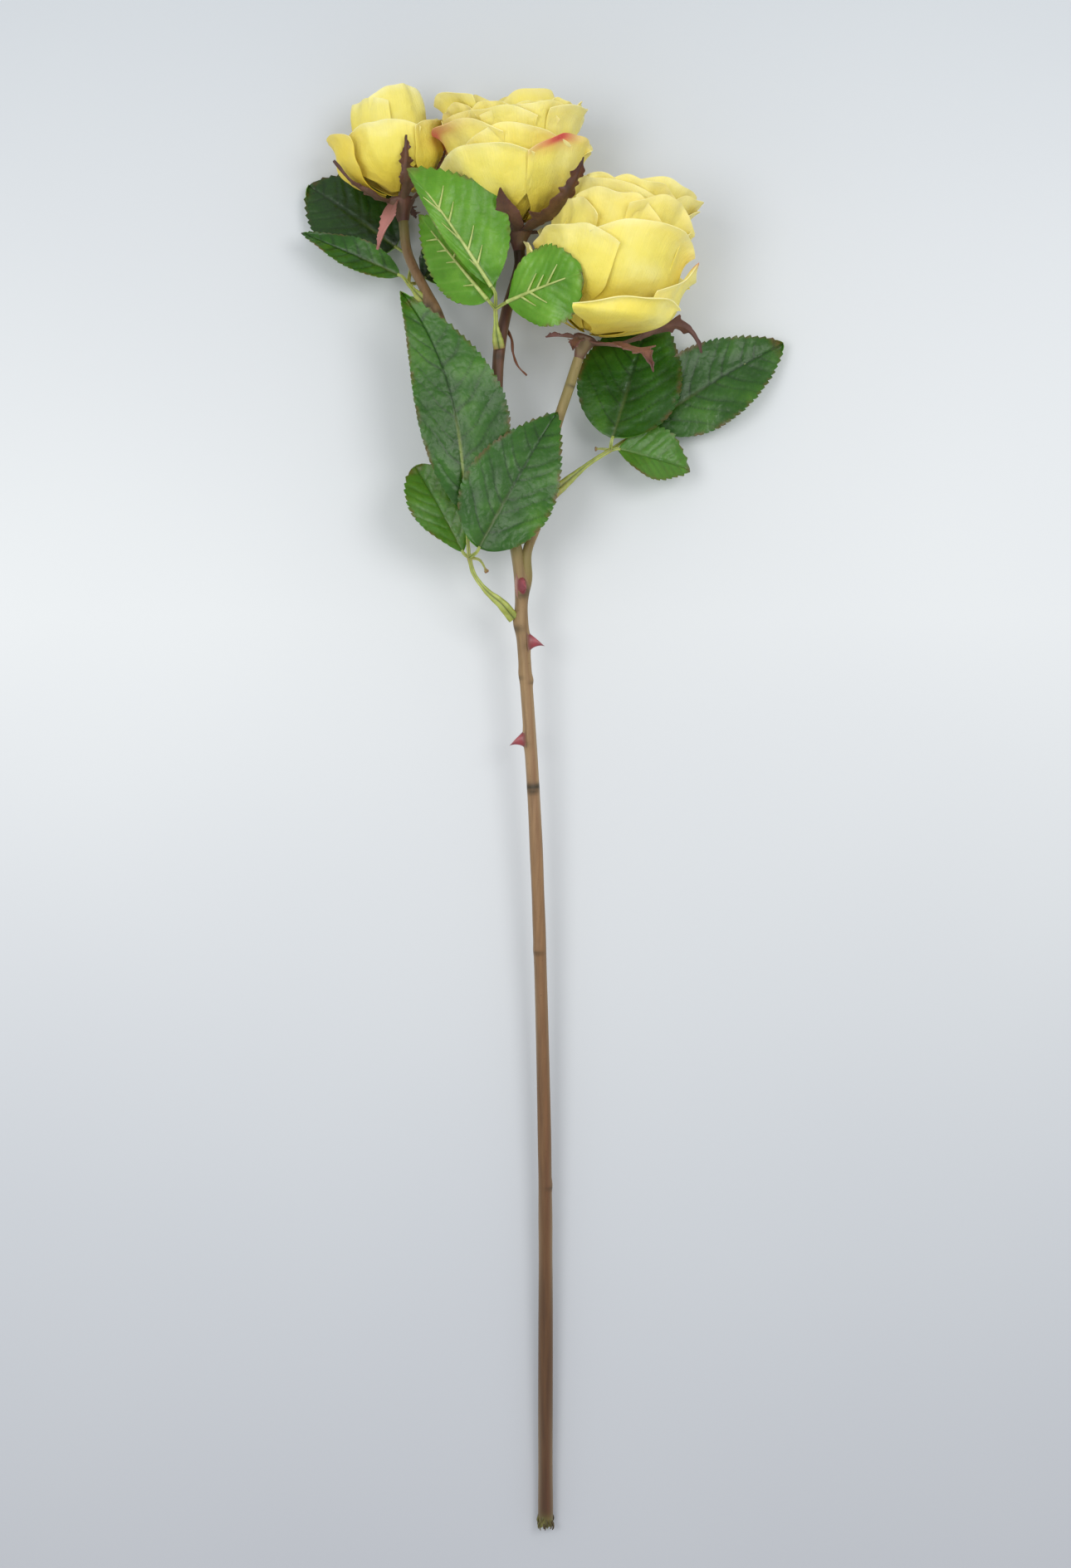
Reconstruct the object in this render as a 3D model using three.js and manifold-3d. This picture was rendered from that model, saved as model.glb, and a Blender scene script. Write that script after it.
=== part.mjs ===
// A cut spray of three yellow roses, lying on a flat surface: one woody stem with two side
// branches, three blooms, four compound leaves of three leaflets and three thorns.
// Millimetres, +Z up from the surface. +Y runs from the cut end of the stem towards the blooms.
import * as THREE from "three";
import { mergeVertices } from "three/addons/utils/BufferGeometryUtils.js";
import Module from "manifold-3d";

const wasm = await Module();
wasm.setup();

// ---- Driving dimensions ----
const bareStemLength = 410; // from the cut end to the place where the lowest leaf leaves the stem
const stemRadius = 3.3; // at the cut end
const stemTipRadius = 2.5; // under the middle bloom
const branchRadius = 2.2;
const stalkRadius = 1.1;
const stalkletRadius = 0.8;
const petalThickness = 0.6;
const leafThickness = 0.6;
const sepalThickness = 0.8;
const clearance = 0.35; // between pieces that touch in the real plant
const crownSize = 1; // blooms, leaves and their spread, against the sizes in the lists below

// ---- Small helpers ----
const { degToRad, smoothstep, clamp, lerp } = THREE.MathUtils;
const point = (x, y, z) => new THREE.Vector3(x, y, z);
const nodeY = 83; // the lowest leaf leaves the stem here
// A place in the crown, which spreads upwards and outwards from the lowest leaf's node.
const inCrown = (x, y, z) => point(x * crownSize, nodeY + (y - nodeY) * crownSize, z * crownSize);

function colour(hex, roughness) {
  return new THREE.MeshStandardMaterial({ color: hex, roughness, metalness: 0, side: THREE.DoubleSide });
}
const bark = colour(0x7d6443, 0.6);
const thornRed = colour(0x9c3a44, 0.5);
const stalkGreen = colour(0x9aa64a, 0.5);
const leafGreen = colour(0x3b6b2c, 0.45);
const petalYellow = colour(0xf0dc6e, 0.7);
const sepalBrown = colour(0x6b3b2c, 0.6);

// A BufferGeometry from points and triangles, turned so that its faces point out.
function closedGeometry(points, triangles) {
  let volume = 0;
  for (const [a, b, c] of triangles) {
    volume += points[a].dot(points[b].clone().cross(points[c]));
  }
  const order = volume < 0 ? triangles.map(([a, b, c]) => [a, c, b]) : triangles;
  return new THREE.BufferGeometry().setFromPoints(points).setIndex(order.flat());
}

// A thin closed shell around surface(u, v), u from -1 to 1 and v from 0 to 1.
function shell(surface, across, along, thickness) {
  const row = across + 1;
  const sheet = row * (along + 1);
  const step = 1e-3;
  const top = [];
  const bottom = [];
  for (let j = 0; j <= along; j++) {
    for (let i = 0; i <= across; i++) {
      const u = (2 * i) / across - 1;
      const v = j / along;
      const du = surface(Math.min(u + step, 1), v).sub(surface(Math.max(u - step, -1), v));
      const dv = surface(u, Math.min(v + step, 1)).sub(surface(u, Math.max(v - step, 0)));
      const normal = du.cross(dv).normalize();
      const middle = surface(u, v);
      top.push(middle.clone().addScaledVector(normal, thickness / 2));
      bottom.push(middle.addScaledVector(normal, -thickness / 2));
    }
  }
  const triangles = [];
  const quad = (a, b, c, d) => triangles.push([a, b, c], [a, c, d]);
  for (let j = 0; j < along; j++) {
    for (let i = 0; i < across; i++) {
      const a = j * row + i;
      quad(a, a + 1, a + row + 1, a + row);
      quad(sheet + a, sheet + a + row, sheet + a + row + 1, sheet + a + 1);
    }
  }
  for (let i = 0; i < across; i++) {
    quad(i, sheet + i, sheet + i + 1, i + 1);
    const a = along * row + i;
    quad(a, a + 1, sheet + a + 1, sheet + a);
  }
  for (let j = 0; j < along; j++) {
    const a = j * row;
    quad(a, a + row, sheet + a + row, sheet + a);
    const b = a + across;
    quad(b, sheet + b, sheet + b + row, b + row);
  }
  return closedGeometry([...top, ...bottom], triangles);
}

// A round rod along a curve through the points, its radius running from one value to another.
function rod(points, startRadius, endRadius, sides, steps) {
  const curve = new THREE.CatmullRomCurve3(points);
  const frames = curve.computeFrenetFrames(steps, false);
  const vertices = [];
  for (let j = 0; j <= steps; j++) {
    const centre = curve.getPointAt(j / steps);
    const radius = lerp(startRadius, endRadius, j / steps);
    for (let i = 0; i < sides; i++) {
      const angle = (i / sides) * 2 * Math.PI;
      vertices.push(
        centre
          .clone()
          .addScaledVector(frames.normals[j], radius * Math.cos(angle))
          .addScaledVector(frames.binormals[j], radius * Math.sin(angle)),
      );
    }
  }
  const triangles = [];
  for (let j = 0; j < steps; j++) {
    for (let i = 0; i < sides; i++) {
      const a = j * sides + i;
      const b = j * sides + ((i + 1) % sides);
      triangles.push([a, b, b + sides], [a, b + sides, a + sides]);
    }
  }
  const last = steps * sides;
  for (let i = 1; i < sides - 1; i++) {
    triangles.push([0, i + 1, i], [last, last + i, last + i + 1]);
  }
  return closedGeometry(vertices, triangles);
}

// Joins closed geometries that run into each other into one solid.
function joined(geometries) {
  let solid = null;
  for (const geometry of geometries) {
    const bare = new THREE.BufferGeometry().setAttribute("position", geometry.getAttribute("position"));
    if (geometry.index) bare.setIndex(geometry.index);
    const merged = mergeVertices(bare);
    const piece = new wasm.Manifold(
      new wasm.Mesh({
        numProp: 3,
        vertProperties: merged.attributes.position.array,
        triVerts: new Uint32Array(merged.index.array),
      }),
    );
    solid = solid ? solid.add(piece) : piece;
  }
  const mesh = solid.getMesh();
  const vertices = [];
  for (let i = 0; i < mesh.numVert; i++) {
    vertices.push(point(...mesh.vertProperties.subarray(3 * i, 3 * i + 3)));
  }
  return new THREE.BufferGeometry().setFromPoints(vertices).setIndex([...mesh.triVerts]);
}

const spray = new THREE.Group();

function add(name, geometry, material, parent = spray) {
  const mesh = new THREE.Mesh(geometry, material);
  mesh.name = name;
  parent.add(mesh);
  return mesh;
}

// ---- Blooms ----
// In a bloom's own frame +Y is its axis, from the stem to the open top, and azimuth turns from
// +X (0 degrees) to +Z (90 degrees).
const lipFrom = 0.68; // share of a petal's height where its lip starts to roll
const clawShare = 0.38; // width of a petal's claw against its full width
const shoulder = 0.16; // how far the corners of a petal's top edge are rounded down
const innerClaw = 2.6; // radius where the innermost petals grow from the hip
const outerClaw = 6.4; // and the outermost
const clawRise = 2.2; // the innermost petals grow this much higher than the outermost

// inward runs from 0 for the outermost petal of a bloom to 1 for the innermost; bellyAt is the
// share of a petal's height where it is widest.
function petalSurface([azimuth, belly, height, width, lip], inward, bellyAt) {
  const claw = lerp(outerClaw, innerClaw, inward);
  const halfAngle = width / 2 / belly;
  return (u, v) => {
    const t = v * (1 - shoulder * Math.abs(u) ** 2.6);
    const rise = Math.min(t / bellyAt, 1);
    const over = Math.max(0, (t - lipFrom) / (1 - lipFrom));
    const r = claw + (belly - claw) * Math.sin((Math.PI / 2) * rise) ** 0.9 + lip * over ** 2;
    const y = clawRise * inward + height * t ** 1.1 - 0.35 * Math.abs(lip) * over ** 3;
    const spread = halfAngle * (clawShare + (1 - clawShare) * smoothstep(v, 0, 0.5));
    const angle = degToRad(azimuth) + u * spread;
    return point(r * Math.cos(angle), y, r * Math.sin(angle)).multiplyScalar(crownSize);
  };
}

// A sepal is a narrow blade that leaves the hip at an angle above the plane across the axis
// and bends by a further angle over its length.
const sepalRoot = { r: 4.5, y: -3.4 };
const sepalWidth = 5.5;

function sepalSurface([azimuth, length, lift, bend]) {
  return (u, v) => {
    const steps = 12;
    let r = sepalRoot.r;
    let y = sepalRoot.y;
    for (let i = 0; i < steps; i++) {
      const slope = degToRad(lift + bend * v * ((i + 0.5) / steps));
      r += (Math.cos(slope) * length * v) / steps;
      y += (Math.sin(slope) * length * v) / steps;
    }
    const half = (sepalWidth / 2) * (0.12 + 0.88 * Math.sin(Math.PI * (0.2 + 0.8 * v)) ** 0.9);
    const angle = degToRad(azimuth);
    const across = u * half;
    return point(
      r * Math.cos(angle) - across * Math.sin(angle),
      y,
      r * Math.sin(angle) + across * Math.cos(angle),
    ).multiplyScalar(crownSize);
  };
}

const hipTop = -1.3; // the hip ends this far under the outermost petals
const hipRadius = 6.8;
const hipLength = 10;

function hipGeometry(neckRadius) {
  const body = hipRadius * crownSize;
  const profile = [
    [0, 1],
    [neckRadius, 1],
    [neckRadius + 0.9, 0.8],
    [0.85 * body, 0.45],
    [body, 0.15],
    [0.9 * body, 0],
    [0, 0],
  ].map(([r, down]) => new THREE.Vector2(r, (hipTop - down * hipLength) * crownSize));
  return new THREE.LatheGeometry(profile, 12);
}

// The rolled-up inner petals, as one closed bud.
function heartGeometry([radius, height], bellyAt) {
  const profile = [new THREE.Vector2(0, 1.5 + clawRise)];
  for (const share of [0, 0.15, 0.35, 0.55, 0.8]) {
    const swell = Math.sin((Math.PI / 2) * Math.min(share / bellyAt, 1)) ** 0.9;
    profile.push(new THREE.Vector2(2 + (radius - 2.4) * swell, lerp(1.5 + clawRise, height, share)));
  }
  profile.push(new THREE.Vector2(0.7 * radius, 0.96 * height), new THREE.Vector2(0, height));
  return new THREE.LatheGeometry(profile, 12).scale(crownSize, crownSize, crownSize);
}

// petals: azimuth, belly radius, height, width, lip (+ rolls out, - closes in), outermost first.
// sepals: azimuth, length, lift, bend.
const blooms = [
  {
    name: "right_bloom",
    at: [19, 210],
    lean: 18,
    rise: 3,
    bellyAt: 0.6,
    neck: branchRadius,
    petals: [
      [65, 36.5, 22, 50, 5],
      [14, 35.4, 36, 42, 5],
      [186, 35, 30, 44, 2],
      [300, 34, 43, 50, 3],
      [238, 32.2, 45, 50, 1],
      [118, 32, 46, 46, 1.5],
      [54, 30.6, 53, 46, 1.5],
      [340, 29.4, 56, 42, 1],
      [197, 27, 51, 42, -0.5],
      [268, 25.4, 60, 44, 0],
      [110, 25.4, 65, 42, 0.5],
      [30, 24.2, 69, 40, 1],
    ],
    heart: [19.5, 63],
    sepals: [
      [184, 13, -5, -20],
      [42, 38, 0, -25],
      [345, 52, 35, -75],
      [262, 20, 10, -20],
      [112, 9, -40, -20],
    ],
  },
  {
    name: "middle_bloom",
    at: [-11.5, 259],
    lean: -3,
    rise: 3,
    bellyAt: 0.95,
    neck: stemTipRadius,
    petals: [
      [44, 32, 33, 38, 2],
      [122, 31.5, 34, 42, 2],
      [335, 31, 36, 44, 2],
      [245, 30.5, 38, 52, 2],
      [165, 29, 46, 41, 4.5],
      [86, 29.5, 41, 44, 1.5],
      [206, 28, 48, 37, 2],
      [15, 29, 48, 38, 2.5],
      [290, 28, 50, 42, 2],
      [125, 28, 51, 40, 2],
      [60, 27.5, 54, 38, 2.5],
      [180, 27.5, 56, 40, 3],
    ],
    heart: [17.5, 47],
    sepals: [
      [104, 29, 12, 45],
      [45, 50, 8, 50],
      [165, 26, 4, 10],
      [236, 14, 24, 0],
      [305, 18, 10, 0],
    ],
  },
  {
    name: "bud_bloom",
    at: [-64.5, 275],
    lean: -7.5,
    rise: 2,
    bellyAt: 0.6,
    neck: branchRadius,
    petals: [
      [172, 26, 28, 34, 3],
      [14, 21.6, 29, 34, 1],
      [105, 20, 31, 34, 0.5],
      [240, 19.4, 32, 36, 1],
      [310, 18.2, 34, 34, 1],
      [150, 17.2, 41, 32, -1],
      [45, 15.6, 44, 34, -1],
      [270, 14.4, 43, 34, -1],
    ],
    heart: [11.5, 46],
    sepals: [
      [150, 33, 14, 40],
      [73, 32, 20, 60],
      [20, 28, 18, 50],
      [118, 26, -55, -35],
      [292, 10, -20, -20],
    ],
  },
];

function placeBloom(bloom) {
  const group = new THREE.Group();
  group.rotation.set(degToRad(bloom.rise), 0, degToRad(-bloom.lean), "ZYX");
  const number = (i) => String(i + 1).padStart(2, "0");
  bloom.petals.forEach((petal, i) => {
    const surface = petalSurface(petal, i / (bloom.petals.length - 1), bloom.bellyAt);
    add(`${bloom.name}_petal_${number(i)}`, shell(surface, 5, 5, petalThickness), petalYellow, group);
  });
  add(`${bloom.name}_heart`, heartGeometry(bloom.heart, bloom.bellyAt), petalYellow, group);
  const blades = bloom.sepals.map((sepal) => shell(sepalSurface(sepal), 2, 5, sepalThickness));
  add(`${bloom.name}_calyx`, joined([hipGeometry(bloom.neck), ...blades]), sepalBrown, group);
  group.position.copy(inCrown(...bloom.at, 0));
  // The bloom lies on the surface: its lowest petal touches it.
  group.position.z = -new THREE.Box3().setFromObject(group, true).min.z;
  group.updateMatrixWorld(true);
  spray.add(group);
  bloom.neckEnd = group.localToWorld(point(0, (hipTop - hipLength) * crownSize - clearance, 0));
  bloom.axis = point(0, 1, 0).transformDirection(group.matrixWorld);
}
blooms.forEach(placeBloom);
const [rightBloom, middleBloom, budBloom] = blooms;

// ---- Stem and branches ----
const cutEndY = nodeY - bareStemLength;
const behind = (bloom, distance) => bloom.neckEnd.clone().addScaledVector(bloom.axis, -distance * crownSize);

// A rod with its own name and material, and the way to find a place on its axis by its y.
function stemPiece(name, points, startRadius, endRadius, sides, steps) {
  add(name, rod(points, startRadius, endRadius, sides, steps), bark);
  const curve = new THREE.CatmullRomCurve3(points);
  return (y) => {
    let low = 0;
    let high = 1;
    for (let i = 0; i < 30; i++) {
      const middle = (low + high) / 2;
      if (curve.getPointAt(middle).y < y) low = middle;
      else high = middle;
    }
    const radius = lerp(startRadius, endRadius, low);
    return { axis: curve.getPointAt(low), along: curve.getTangentAt(low), radius };
  };
}

const onStem = stemPiece(
  "main_stem",
  [
    point(1, cutEndY, stemRadius),
    point(0.5, lerp(cutEndY, nodeY, 0.42), 11),
    point(-3.6, lerp(cutEndY, nodeY, 0.77), 19),
    inCrown(-9.6, nodeY, 25),
    inCrown(-11, 108, 26.5),
    inCrown(-18.5, 146, 28.5),
    inCrown(-20.5, 172, 29.5),
    inCrown(-20, 200, 30.5),
    inCrown(-16.5, 220, 31),
    behind(middleBloom, 6),
    middleBloom.neckEnd,
  ],
  stemRadius,
  stemTipRadius,
  10,
  34,
);

// A point beside a rod's axis at a height along it: far enough for a second rod to lie clear of it.
const crownY = (y) => inCrown(0, y, 0).y;
function beside(place, direction, radius) {
  const out = point(...direction).normalize();
  return place.axis.clone().addScaledVector(out, place.radius + radius + clearance);
}

const onRightBranch = stemPiece(
  "right_branch",
  [
    beside(onStem(crownY(101)), [1, 0, 0], branchRadius),
    beside(onStem(crownY(113)), [1, 0.1, 0.1], branchRadius),
    inCrown(-2.4, 128, 28),
    inCrown(4.5, 165, 31),
    behind(rightBloom, 14),
    rightBloom.neckEnd,
  ],
  branchRadius,
  branchRadius,
  8,
  14,
);

const onBudBranch = stemPiece(
  "bud_branch",
  [
    beside(onStem(crownY(141)), [-1, -0.1, 0], branchRadius),
    beside(onStem(crownY(152)), [-1, 0, 0], branchRadius),
    inCrown(-34, 184, 28),
    inCrown(-46, 217, 28),
    behind(budBloom, 14),
    budBloom.neckEnd,
  ],
  branchRadius,
  branchRadius,
  8,
  14,
);

// ---- Thorns ----
// A thorn is a hooked blade, longer along the stem than across, on the bark at one place.
const thornLength = 5.5;
const thornFoot = { along: 2.6, across: 1.1 };

function thorn(name, belowNode, outward, hook) {
  const geometry = new THREE.ConeGeometry(1, thornLength, 8, 3);
  const at = geometry.attributes.position;
  for (let i = 0; i < at.count; i++) {
    const share = at.getY(i) / thornLength + 0.5;
    const bent = at.getX(i) * thornFoot.along - hook * share ** 2;
    at.setXYZ(i, bent, at.getY(i) + thornLength / 2, at.getZ(i) * thornFoot.across);
  }
  const mesh = add(name, geometry, thornRed);
  const foot = onStem(nodeY - belowNode);
  const side = point(...outward).cross(foot.along).normalize();
  const up = foot.along.clone().cross(side);
  mesh.matrix.makeBasis(foot.along, up, side.negate());
  mesh.matrix.decompose(mesh.position, mesh.quaternion, mesh.scale);
  mesh.position.copy(foot.axis).addScaledVector(up, foot.radius + clearance);
}
thorn("thorn_upper", -14, [0.35, 0, 1], 1.5);
thorn("thorn_right", 8.5, [1, -0.25, 0.15], 2);
thorn("thorn_left", 52, [-1, -0.3, 0.15], 2);

// ---- Leaves ----
// In a leaflet's own frame +X runs from its base to its tip, +Y is its left half and +Z is its
// upper face. fold lifts both halves from the midrib, bend is how far it droops in degrees and
// sweep is how far its tip leaves the straight line to the left. leftShare is the left half's
// width against the right half's.
const leafTipShare = 0.04;

function leafSurface({ length, width, fold, bend, sweep = 0, leftShare = 1 }) {
  const turn = degToRad(bend);
  return (u, v) => {
    const outline = Math.sin(Math.PI * v ** 0.72);
    const full = (width / 2) * (leafTipShare + (1 - leafTipShare) * Math.max(outline, 0) ** 0.85);
    const half = u > 0 ? full * leftShare : full;
    const x = (Math.sin(turn * v) / turn) * length;
    const droop = ((1 - Math.cos(turn * v)) / turn) * length;
    const across = u * half + sweep * v ** 3;
    return point(x, across, fold * Math.abs(u) * half - droop).multiplyScalar(crownSize);
  };
}

// A compound leaf: a stalk from the stem to a fork, and a stalklet from the fork to each leaflet.
function compoundLeaf(name, stalk, leaflets, spurs = []) {
  const fork = stalk.at(-1);
  const rods = [rod(stalk, stalkRadius, stalkRadius * 0.9, 6, 7)];
  for (const leaflet of leaflets) {
    const base = inCrown(...leaflet.at);
    const heading = degToRad(leaflet.heading);
    const pitch = degToRad(leaflet.pitch);
    const forward = point(
      Math.cos(heading) * Math.cos(pitch),
      Math.sin(heading) * Math.cos(pitch),
      Math.sin(pitch),
    );
    const end = base.clone().addScaledVector(forward, -clearance);
    const before = end.clone().addScaledVector(forward, -0.35 * base.distanceTo(fork));
    rods.push(rod([fork, before, end], stalkletRadius, stalkletRadius * 0.8, 6, 4));
    const mesh = add(`${name}_${leaflet.name}`, shell(leafSurface(leaflet), 4, 8, leafThickness), leafGreen);
    mesh.rotation.set(degToRad(leaflet.roll), -pitch, heading, "ZYX");
    mesh.position.copy(base);
  }
  for (const spur of spurs) rods.push(rod(spur, stalkletRadius, 0.4, 6, 5));
  add(`${name}_stalk`, joined(rods), stalkGreen);
}

compoundLeaf(
  "low_leaf",
  [
    beside(onStem(crownY(84)), [-1, 0, 0.35], stalkRadius),
    inCrown(-18.5, 90.5, 29),
    inCrown(-25.5, 96.5, 30),
    inCrown(-31, 104, 30.5),
    inCrown(-33, 111, 31),
  ],
  [
    {
      name: "end_leaflet",
      at: [-34.5, 131, 33],
      length: 99,
      width: 35,
      heading: 93.5,
      pitch: 8,
      roll: 4,
      fold: 0.22,
      bend: 14,
      sweep: 22,
    },
    {
      name: "right_leaflet",
      at: [-28.5, 115, 35],
      length: 69,
      width: 41,
      heading: 61,
      pitch: 14,
      roll: -6,
      fold: 0.12,
      bend: 22,
    },
    {
      name: "left_leaflet",
      at: [-36, 114, 30.5],
      length: 36,
      width: 20,
      heading: 133,
      pitch: 2,
      roll: 25,
      fold: 0.3,
      bend: 20,
    },
  ],
  [[inCrown(-33, 111, 31), inCrown(-28.5, 110, 31), inCrown(-25, 104.5, 30)]],
);
compoundLeaf(
  "right_leaf",
  [
    beside(onRightBranch(crownY(139)), [1, 0, -0.1], stalkRadius),
    inCrown(11.5, 146.5, 25),
    inCrown(21, 154.5, 22),
    inCrown(30, 160.5, 19),
  ],
  [
    {
      name: "inner_leaflet",
      at: [31, 166, 20],
      length: 66,
      width: 46,
      heading: 73,
      pitch: -12,
      roll: -6,
      fold: 0.05,
      bend: 4,
    },
    {
      name: "end_leaflet",
      at: [47, 173, 11],
      length: 73,
      width: 37,
      heading: 34,
      pitch: 2,
      roll: -3,
      fold: 0.05,
      bend: 12,
      sweep: -3,
    },
    {
      name: "outer_leaflet",
      at: [34, 161, 18.5],
      length: 33,
      width: 17,
      heading: -18,
      pitch: 0,
      roll: -20,
      fold: 0.25,
      bend: 20,
    },
  ],
  [[inCrown(30, 160.5, 19), inCrown(26.5, 161, 19.5), inCrown(23, 161, 19.5)]],
);
compoundLeaf(
  "middle_leaf",
  [beside(onStem(crownY(203)), [0, 0, 1], stalkRadius), inCrown(-20.8, 210, 37), inCrown(-21.2, 219, 42)],
  [
    {
      name: "end_leaflet",
      at: [-23, 228, 46],
      length: 62,
      width: 34,
      heading: 124,
      pitch: 14,
      roll: -10,
      fold: -0.3,
      bend: 16,
      sweep: 4,
      leftShare: 0.55,
    },
    {
      name: "left_leaflet",
      at: [-24.5, 222.5, 44],
      length: 46,
      width: 24,
      heading: 129,
      pitch: -14,
      roll: -14,
      fold: -0.2,
      bend: 10,
    },
    {
      name: "right_leaflet",
      at: [-15.5, 221, 47],
      length: 40,
      width: 34,
      heading: 14,
      pitch: 42,
      roll: 0,
      fold: -0.1,
      bend: 20,
    },
  ],
);
compoundLeaf(
  "bud_leaf",
  [
    beside(onBudBranch(crownY(226)), [-1, 0, -0.1], stalkRadius),
    inCrown(-57, 230, 25),
    inCrown(-60.5, 234.5, 22),
  ],
  [
    {
      name: "end_leaflet",
      at: [-67, 254, 10],
      length: 51,
      width: 33,
      heading: 143,
      pitch: -3,
      roll: 8,
      fold: 0.02,
      bend: 8,
    },
    {
      name: "left_leaflet",
      at: [-65, 239, 20],
      length: 49,
      width: 14,
      heading: 154,
      pitch: -2,
      roll: 15,
      fold: 0.2,
      bend: 10,
    },
    {
      name: "right_leaflet",
      at: [-53.5, 238.5, 16],
      length: 30,
      width: 22,
      heading: 42,
      pitch: -10,
      roll: 0,
      fold: 0.1,
      bend: 10,
    },
  ],
);

// ---- Origin ----
// The middle of the whole spray's base, on the surface.
const whole = new THREE.Group();
whole.add(spray);
whole.updateMatrixWorld(true);
const box = new THREE.Box3().setFromObject(spray, true);
spray.position.set(-(box.min.x + box.max.x) / 2, -(box.min.y + box.max.y) / 2, -box.min.z);

export default whole;
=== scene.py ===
import math

import bpy
import numpy as np
from mathutils import Matrix, Vector


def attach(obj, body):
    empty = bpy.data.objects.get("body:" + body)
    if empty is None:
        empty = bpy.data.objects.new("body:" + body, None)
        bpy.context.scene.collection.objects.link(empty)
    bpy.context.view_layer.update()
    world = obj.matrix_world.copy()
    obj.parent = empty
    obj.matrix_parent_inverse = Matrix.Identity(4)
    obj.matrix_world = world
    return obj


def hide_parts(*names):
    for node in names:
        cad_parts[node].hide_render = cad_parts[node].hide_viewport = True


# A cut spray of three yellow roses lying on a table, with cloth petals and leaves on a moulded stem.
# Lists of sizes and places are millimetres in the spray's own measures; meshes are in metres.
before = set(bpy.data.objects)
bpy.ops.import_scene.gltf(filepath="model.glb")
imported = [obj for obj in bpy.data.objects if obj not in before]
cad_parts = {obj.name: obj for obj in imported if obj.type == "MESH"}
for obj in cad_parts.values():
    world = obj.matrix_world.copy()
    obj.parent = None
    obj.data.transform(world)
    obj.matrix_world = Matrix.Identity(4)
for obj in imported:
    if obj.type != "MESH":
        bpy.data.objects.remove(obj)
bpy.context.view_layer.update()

# ---- Main stem ----
# One long cane of soft plastic moulded over a wire and painted as bark: dark brown at the cut end,
# olive higher up, maroon under the middle bloom. Its cut end is ragged, and it swells at each node.
spray_origin = np.array((-0.164, 2.8645, 0.0))  # where the spray's own zero lies in the frame
bloom_places = {  # foot of the petals x, y, z, then the axis: lean to the right and rise, in degrees
    "right": (19, 210, 34.23, 18, 3),
    "middle": (-11.5, 259, 30.26, -3, 3),
    "bud": (-64.5, 275, 19.34, -7.5, 2),
}
neck_end = -11.65  # on a bloom's axis, where its stem ends
millimetre = 0.001  # in metres
stem_radius, stem_tip_radius, branch_radius = 3.3, 2.5, 2.2


def bloom_matrix(bloom):
    x, y, z, lean, rise = bloom_places[bloom]
    turn = Matrix.Rotation(math.radians(-lean), 4, "Z") @ Matrix.Rotation(math.radians(rise), 4, "X")
    return np.array(Matrix.Translation((x, y, z)) @ turn)


def moved(points, matrix):
    return points @ matrix[:3, :3].T + matrix[:3, 3]


def behind(bloom, distance):
    return moved(np.array((0, neck_end - distance, 0.0)), bloom_matrix(bloom))


def smooth_line(points, count):
    """A round-cornered line through the points, as count places at equal steps."""
    p = np.array(points, float)
    p = np.vstack([2 * p[0] - p[1], p, 2 * p[-1] - p[-2]])
    fine = []
    step = np.linspace(0, 1, 80, endpoint=False)[:, None]
    for a, b, c, d in zip(p, p[1:], p[2:], p[3:]):
        g, h, k = (np.linalg.norm(q) ** 0.5 for q in (b - a, c - b, d - c))
        leave = ((b - a) / g - (c - a) / (g + h) + (c - b) / h) * h
        arrive = ((c - b) / h - (d - b) / (h + k) + (d - c) / k) * h
        square, cube = -3 * b + 3 * c - 2 * leave - arrive, 2 * b - 2 * c + leave + arrive
        fine.append(b + leave * step + square * step**2 + cube * step**3)
    fine = np.vstack([*fine, p[-2][None]])
    run = np.concatenate([[0], np.cumsum(np.linalg.norm(np.diff(fine, axis=0), axis=1))])
    at = np.linspace(0, run[-1], count)
    return np.column_stack([np.interp(at, run, fine[:, i]) for i in range(3)])


def unit(vectors):
    return vectors / np.maximum(np.linalg.norm(vectors, axis=-1, keepdims=True), 1e-9)


def bump(x, middle, half):
    """1 at the middle, falling to 0 over about twice the half width."""
    return np.exp(-(((x - middle) / half) ** 2))


def ease(x, low, high):
    t = np.clip((x - low) / (high - low), 0, 1)
    return t * t * (3 - 2 * t)


def ring(sides):
    """Equal steps of angle once round a cane, tube or hip."""
    return np.linspace(0, 2 * math.pi, sides, endpoint=False)[None, :]


def tube(line, radii, sides, right=None, shift=0.0, marks=None):
    """A closed tube along a line, with its radii and shift (along the line) by ring and side."""
    count = len(line)
    along = unit(np.gradient(line, axis=0))
    right = unit(np.cross(along, (0, 0, 1.0))) if right is None else right
    up = np.cross(right, along)
    turn = ring(sides)[..., None]
    out = right[..., None, :] * np.cos(turn) + up[..., None, :] * np.sin(turn)
    size = np.broadcast_to(radii, (count, sides))[..., None]
    push = np.broadcast_to(shift, (count, sides))[..., None]
    rings = line[:, None] + out * size + along[:, None] * push
    ends = [rings[0].mean(0), rings[-1].mean(0)]
    verts = np.vstack([rings.reshape(-1, 3), ends])
    faces = []
    for j in range(count - 1):
        for i in range(sides):
            a, b = j * sides + i, j * sides + (i + 1) % sides
            faces.append((a, a + sides, b + sides, b))
    last, first_end = (count - 1) * sides, count * sides
    for i in range(sides):
        k = (i + 1) % sides
        faces += [(first_end, i, k), (first_end + 1, last + k, last + i)]
    made = {}
    for key, value in (marks or {}).items():
        value = np.broadcast_to(value, (count, sides))
        made[key] = np.concatenate([value.ravel(), [value[0].mean(), value[-1].mean()]])
    return verts, faces, made


def together(parts):
    verts, faces, start = [], [], 0
    for v, f, _ in parts:
        verts.append(v)
        faces += [tuple(i + start for i in face) for face in f]
        start += len(v)
    marks = {key: np.concatenate([m[key] for _, _, m in parts]) for key in parts[0][2]}
    return np.vstack(verts), faces, marks


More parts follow.
